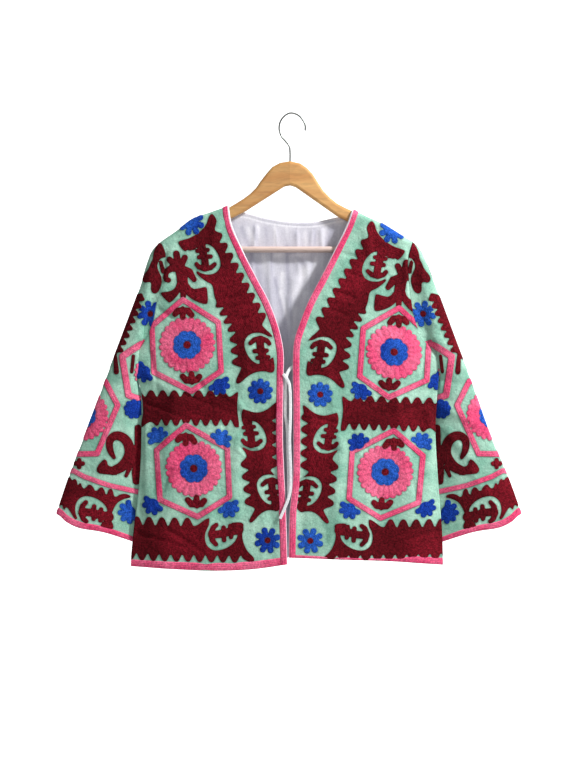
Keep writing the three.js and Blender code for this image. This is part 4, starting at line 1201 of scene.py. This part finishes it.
def make_band(name, points, outward, row, **values):
    """A sewn pink band; "row" is how far across it each place is."""
    values = {"row": numpy.broadcast_to(row, points.shape[:2]), **values}
    piece = cloth_piece(name + ".band", points, outward, values, numpy.zeros(points.shape[:2]))
    finish_piece(piece, [name], "border", BORDER_THREAD)


def make_front_border(side):
    turn, fall = panel_rows(3.0)
    width = numpy.linspace(-1, 1, 11)
    share = border_share(side, turn, fall)[:, None] * (width[None] + 1) / 2
    points = front_surface(side, share, turn[:, None], fall[:, None])
    points = moved(points, turn, -1, rounded_band(width)[None])
    row = numpy.broadcast_to((width + 1) / 2 * BORDER_WIDTH, points.shape[:2])
    shown = mix(2.2, 0.2, ease(0.02, 0.2, fall))[:, None]
    piping = 1 - ease(shown, shown + 1.25, row)
    make_band("border_front_" + side["name"], points, (0, -1, 0), row, piping=piping)


def make_front_hem(side, widths):
    """The band along a front's hem. "widths" says how much of it shows across the front."""
    across = numpy.linspace(0.045, 1, 110)
    band = numpy.linspace(-1, 1, 9)
    height = side["armhole"][0][0] - SHOULDER_ROUND - side["side"][-1][0]
    shown = numpy.interp(across, *zip(*widths)) / height
    fall = 1 - shown[None] * (1 - band[:, None]) / 2
    points = front_surface(side, across[None], numpy.full_like(fall, math.pi / 2), fall)
    points[..., 1] -= rounded_band(band)[:, None]
    make_band("hem_border_" + side["name"], points, (0, -1, 0), across_band(band))


def make_back():
    turn, fall = panel_rows(2.8)
    half = numpy.concatenate([numpy.linspace(0, NECK_SHARE, 44), numpy.linspace(NECK_SHARE, 1, 52)[1:]])
    across = numpy.concatenate([-half[:0:-1], half])
    points = back_surface(across[None] + 0 * fall[:, None], turn[:, None], fall[:, None])
    x = points[..., 0]
    z = points[..., 2]
    edge = 1 - ease(0.96, 1, numpy.abs(across))
    crease = CREASE_RISE * crease_height(x, z, CREASES_BACK) * edge[None] * ease(0, 0.03, fall)[:, None]
    open_neck = (numpy.abs(across) < NECK_SHARE - 0.001)[None] & (turn < 1.57)[:, None]
    piece = cloth_piece("back.cloth", points, (0, 1, 0), back_embroidery(x, z), crease, open_neck)
    thicken(piece, CLOTH)
    finish_piece(piece, ["back"], "embroidered_cotton", EMBROIDERED, LINING_COTTON)
    return piece


def make_back_bands():
    """The pink bands on the back, along the neck and the hem."""
    band = numpy.linspace(-1, 1, 9)
    quarter = math.pi / 2
    for name, ends, falls in (
        ("border_neck_back", NECK_SHARE, (0, BORDER_WIDTH / NECK_FALL)),
        ("hem_border_back", 1, (1 - BORDER_WIDTH / PANEL_FALL, 1)),
    ):
        across = numpy.linspace(-ends, ends, 150)[None] * numpy.ones((9, 1))
        fall = mix(falls[0], falls[1], (band[:, None] + 1) / 2) * numpy.ones_like(across)
        points = back_surface(across * 0.999, numpy.full_like(fall, quarter), fall)
        points[..., 1] += rounded_band(band)[:, None]
        make_band(name, points, (0, 1, 0), across_band(band))


# Soft pleats of the lining below the neck: as the creases, towards the front.
LINING_PLEATS = [
    (-62, -205, -70, -300, 4, 1.4), (-38, -250, -30, -420, 7, 1.8), (-12, -262, -4, -470, 6, -1.4),
    (12, -215, 16, -300, 4, 1.1), (30, -262, 44, -400, 7, 1.8), (56, -210, 62, -290, 4, 1.3),
    (72, -255, 60, -380, 7, -1.4), (-84, -245, -92, -360, 8, 1.6), (8, -300, -18, -520, 9, 1.8),
    (-26, -210, -22, -245, 3, 0.9), (40, -212, 38, -240, 3, 0.9), (-6, -330, 14, -430, 5, 1.2),
    (-50, -420, -20, -700, 12, 2.0), (40, -460, 20, -740, 12, -1.8), (-160, -300, -140, -700, 16, 2.2),
    (150, -300, 140, -700, 16, 2.2),
]


# Painted light and shade in streaks on the lining: from, to, half width and lightness.
LINING_STREAKS = [
    (-76, -206, -63, -236, 4, 0.7), (-57, -200, -54, -236, 2.2, 0.9), (-27, -203, -28, -236, 3, 0.9),
    (27, -214, 30, -238, 5, 0.7), (62, -205, 58, -236, 4, 0.5), (-6, -204, -4, -230, 2.5, 0.5),
    (-48, -256, -39, -292, 5, 0.6), (-13.5, -287, -17, -328, 4.5, 1.0), (-17, -320, 0, -384, 4, 0.8),
    (26, -282, 8, -330, 10, 1.1), (28, -322, 18, -376, 6, 0.8), (9, -350, 6, -410, 5, 0.8),
    (-26, -254, -8, -253, 4, 0.8), (6, -254, 34, -253, 4.5, 0.9), (10, -262, 14, -268, 3.5, 0.7),
    (-34, -242, -33, -292, 2, -0.7), (-6, -238, -3, -334, 2.6, -0.8), (-27, -296, -9, -376, 3, -0.7),
    (0, -246, 30, -276, 6, -0.5), (0, -330, 3, -394, 2.4, -0.7), (-87, -205, -56, -288, 4, -0.6),
    (-66, -200, -60, -236, 2, -0.5), (-44, -204, -42, -236, 3, -0.4), (10, -206, 12, -236, 3, -0.4),
    (44, -206, 44, -238, 3, -0.5), (78, -200, 60, -250, 4, -0.5), (46, -262, 36, -330, 4, 0.5),
    (-60, -300, -40, -420, 8, -0.3), (60, -300, 40, -420, 6, 0.4), (-10, -420, -14, -780, 10, 0.3),
]


def make_lining():
    fall = numpy.linspace(0, 1 - BORDER_WIDTH / PANEL_FALL, 220)
    across = numpy.linspace(-0.82, 0.82, 170)
    turn = numpy.full(len(fall), math.pi / 2)
    points = back_surface(across[None] + 0 * fall[:, None], turn[:, None], fall[:, None])
    points = moved(points, turn, 1, -(CLOTH + SEAM))
    x = points[..., 0]
    z = points[..., 2]
    edge_z = points[0, :, 2][None]
    hem_stitch = numpy.exp(-(((edge_z - z - 5.4) / 1.1) ** 2))
    crease = numpy.maximum(crease_height(x, z, LINING_PLEATS), -0.2) * ease(0, 9, edge_z - z)
    crease = crease - 0.3 * hem_stitch
    crease = crease + 0.5 * numpy.exp(-(((edge_z - z - 2) / 2.4) ** 2))
    # Painted light and shade on the lining: its streaks, lighter in a line just below the neck stitching and
    # towards the top, and painted shade in the stitch groove.
    pleat_shading = crease_height(x, z, LINING_STREAKS) + 1.2 * numpy.exp(-(((edge_z - z - 7) / 1.6) ** 2))
    pleat_shading = pleat_shading + mix(0.3, 0, ease(6, 20, edge_z - z)) - 0.9 * hem_stitch
    piece = cloth_piece("lining_back.cloth", points, (0, -1, 0), {"pleat_shading": pleat_shading}, crease)
    thicken(piece, LINING_SHELL)
    finish_piece(piece, ["lining_back"], "lining", PLEATED_LINING, LINING_COTTON)
    return piece


FOLD_TOP = numpy.array((-236.0, -240.0))
FOLD_FOOT = numpy.array((-420.0, -720.0))


def laid_flat(side, points, face):
    """Where a sleeve's places are in its drawing, in which the back half is opened outwards."""
    x = points[..., 0]
    z = points[..., 2]
    if side["sign"] > 0:
        x = -(x + mix(14, 6, numpy.clip((z + 240) / -480, 0, 1)))
    way = (FOLD_FOOT - FOLD_TOP) / numpy.hypot(*(FOLD_FOOT - FOLD_TOP))
    along = (x - FOLD_TOP[0]) * way[0] + (z - FOLD_TOP[1]) * way[1]
    behind = numpy.broadcast_to(face[None] > 0, x.shape)
    flat_x = numpy.where(behind, 2 * (FOLD_TOP[0] + along * way[0]) - x, x)
    flat_z = numpy.where(behind, 2 * (FOLD_TOP[1] + along * way[1]) - z, z)
    return flat_x, flat_z


def make_sleeve(side):
    points, share, face = sleeve_surface(side, 2.6)
    flat = laid_flat(side, points, face)
    edges = ease(0, 0.06, share) * (1 - ease(0.94, 1, share))
    along = numpy.linspace(0, 1, len(points))
    crease = CREASE_RISE * crease_height(*flat, CREASES_SLEEVE) * edges[None] * ease(0, 0.04, along)[:, None]
    outward = points - points.mean(axis=1, keepdims=True)
    name = "sleeve_" + side["name"]
    piece = cloth_piece(name + ".cloth", points, outward, sleeve_embroidery(*flat), crease)
    weld_seam(piece, 0.05)
    thicken(piece, SLEEVE_SHELL)
    finish_piece(piece, [name], "embroidered_cotton", EMBROIDERED, EMBROIDERED)
    cuff(side)
    return piece


def cuff(side):
    start = 1 - BORDER_WIDTH / SLEEVE_LENGTH
    near, _, _ = sleeve_surface(side, BORDER_WIDTH / 8, -BAND_LIFT, start)
    far, _, _ = sleeve_surface(side, BORDER_WIDTH / 8, -(SEAM + BORDER_THICKNESS), start)
    band = numpy.linspace(-1, 1, len(near))
    points = mix(near, far, (1 - numpy.abs(band) ** 4)[:, None, None])
    outward = points - points.mean(axis=1, keepdims=True)
    make_band("cuff_border_" + side["name"], points, outward, across_band(band))


# ---------------------------------------------------------------- ties and hanger


def tube(name, centres, section):
    """A closed bar around the centres; "section" is a ring of places across and through it."""
    run = numpy.gradient(centres, axis=0)
    run /= numpy.linalg.norm(run, axis=-1, keepdims=True)
    across = numpy.stack([-run[:, 2], 0 * run[:, 0], run[:, 0]], -1)
    across /= numpy.linalg.norm(across, axis=-1, keepdims=True)
    through = numpy.cross(across, run)
    section = numpy.array([*section, section[0]])
    points = centres[:, None] + across[:, None] * section[:, :1] + through[:, None] * section[:, 1:]
    flat = numpy.zeros(points.shape[:2])
    outward = points - centres[:, None]
    piece = cloth_piece(name, points, outward, {}, flat)
    weld_seam(piece, 0.01)
    return piece


def make_tie(name, rows):
    centres = smooth_run(rows, numpy.linspace(0, 1, 110))
    half = TIE_WIDTH / 2
    thin = TIE_THICKNESS / 2
    section = [(half, 0), (half * 0.9, thin), (half * 0.45, thin), (0, thin * 0.8), (-half * 0.45, thin),
               (-half * 0.9, thin), (-half, 0), (-half * 0.9, -thin), (-half * 0.45, -thin),
               (0, -thin * 0.8), (half * 0.45, -thin), (half * 0.9, -thin)]
    piece = tube(name + ".tape", centres, section)
    finish_piece(piece, [name], "tape", TAPE)


def round_section(radius, sides):
    angles = numpy.linspace(0, 2 * math.pi, sides, endpoint=False)
    return [(radius * math.cos(angle), radius * math.sin(angle)) for angle in angles]


HOOK = [(27.5, 0, -30), (27, 0, -20), (19.5, 0, -6.5), (10, 0, 0), (0, 0, 1.4), (-9, 0, -3), (-17, 0, -13),
        (-19.5, 0, -27), (-15, 0, -41), (-7.2, 0, -50.4), (-1.5, 0, -58), (0, 0, -68), (0, 0, -86),
        (0, 0, -104)]


def make_hanger():
    hook = tube("hook.wire", smooth_run(HOOK, numpy.linspace(0, 1, 150)), round_section(1.4, 16))
    finish_piece(hook, ["hanger_hook"], "hook_wire", STEEL)
    for name, wood in (("hanger_arms", WOOD), ("hanger_bar", BAR_WOOD)):
        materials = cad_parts[name].data.materials
        materials.clear()
        materials.append(wood)


front_right = make_front(RIGHT, CREASES_RIGHT)
front_left = make_front(LEFT, CREASES_LEFT)
make_front_border(RIGHT)
make_front_border(LEFT)
make_front_hem(RIGHT, [(0, 12.5), (1, 12.5)])
make_front_hem(LEFT, [(0, 5), (0.55, 4), (0.72, 6), (0.8, 12.5), (1, 12.5)])
back = make_back()
make_back_bands()
lining = make_lining()
sleeve_right = make_sleeve(RIGHT)
sleeve_left = make_sleeve(LEFT)
make_tie("tie_right", TIE_RIGHT)
make_tie("tie_left", TIE_LEFT)
make_hanger()

# ---------------------------------------------------------------- studio

WALL_PLACE = 5.0
FLOOR_HEIGHT = -1.9
SWEEP_RADIUS = 0.8


def make_backdrop():
    """A pale floor that sweeps up into a bright wall well behind the jacket."""
    middle = (WALL_PLACE - SWEEP_RADIUS, FLOOR_HEIGHT + SWEEP_RADIUS)
    sweep = [(-8.0, FLOOR_HEIGHT), (middle[0], FLOOR_HEIGHT)]
    for k in range(1, 12):
        angle = math.pi / 2 * k / 12
        sweep.append((middle[0] + SWEEP_RADIUS * math.sin(angle), middle[1] - SWEEP_RADIUS * math.cos(angle)))
    sweep += [(WALL_PLACE, middle[1]), (WALL_PLACE, 6.0)]
    points = numpy.array([[(x, y, z) for x in (-9.0, 9.0)] for y, z in sweep]) / MM
    backdrop = grid_piece("backdrop", points)
    material, tree, shader = new_material("backdrop", 0.9)
    fine = tree.noise(tree.place(), 40.0)
    colour = tree.blend(fine, (0.6, 0.6, 0.6, 1), (0.62, 0.62, 0.62, 1))
    tree.join(colour, shader.inputs["Base Color"])
    shader.inputs["Emission Color"].default_value = (1, 1, 1, 1)
    behind = tree.add("ShaderNodeSeparateXYZ", {0: tree.place()}).outputs[1]
    bright = tree.fit(behind, 1.4, 2.8, 0.0, 1.0)
    tree.join(bright, shader.inputs["Emission Strength"])
    backdrop.data.materials.append(material)


def make_light(name, place, size, power):
    light = bpy.data.objects.new(name, bpy.data.lights.new(name, "AREA"))
    light.data.shape = "SQUARE"
    light.data.size = size
    light.data.energy = power
    light.location = place
    aim = Vector((0, 0, -0.5)) - light.location
    light.rotation_mode = "QUATERNION"
    light.rotation_quaternion = aim.to_track_quat("-Z", "Y")
    scene.collection.objects.link(light)


make_backdrop()
make_light("key", (2.4, -1.3, 1.8), 0.4, 175)
make_light("fill", (-0.1, -3.4, -0.1), 0.9, 11)
world = bpy.data.worlds.new("studio")
world.use_nodes = True
world.node_tree.nodes["Background"].inputs["Color"].default_value = (1, 1, 1, 1)
world.node_tree.nodes["Background"].inputs["Strength"].default_value = 0.24
scene.world = world
scene.view_settings.view_transform = "Standard"
scene.view_settings.look = "None"
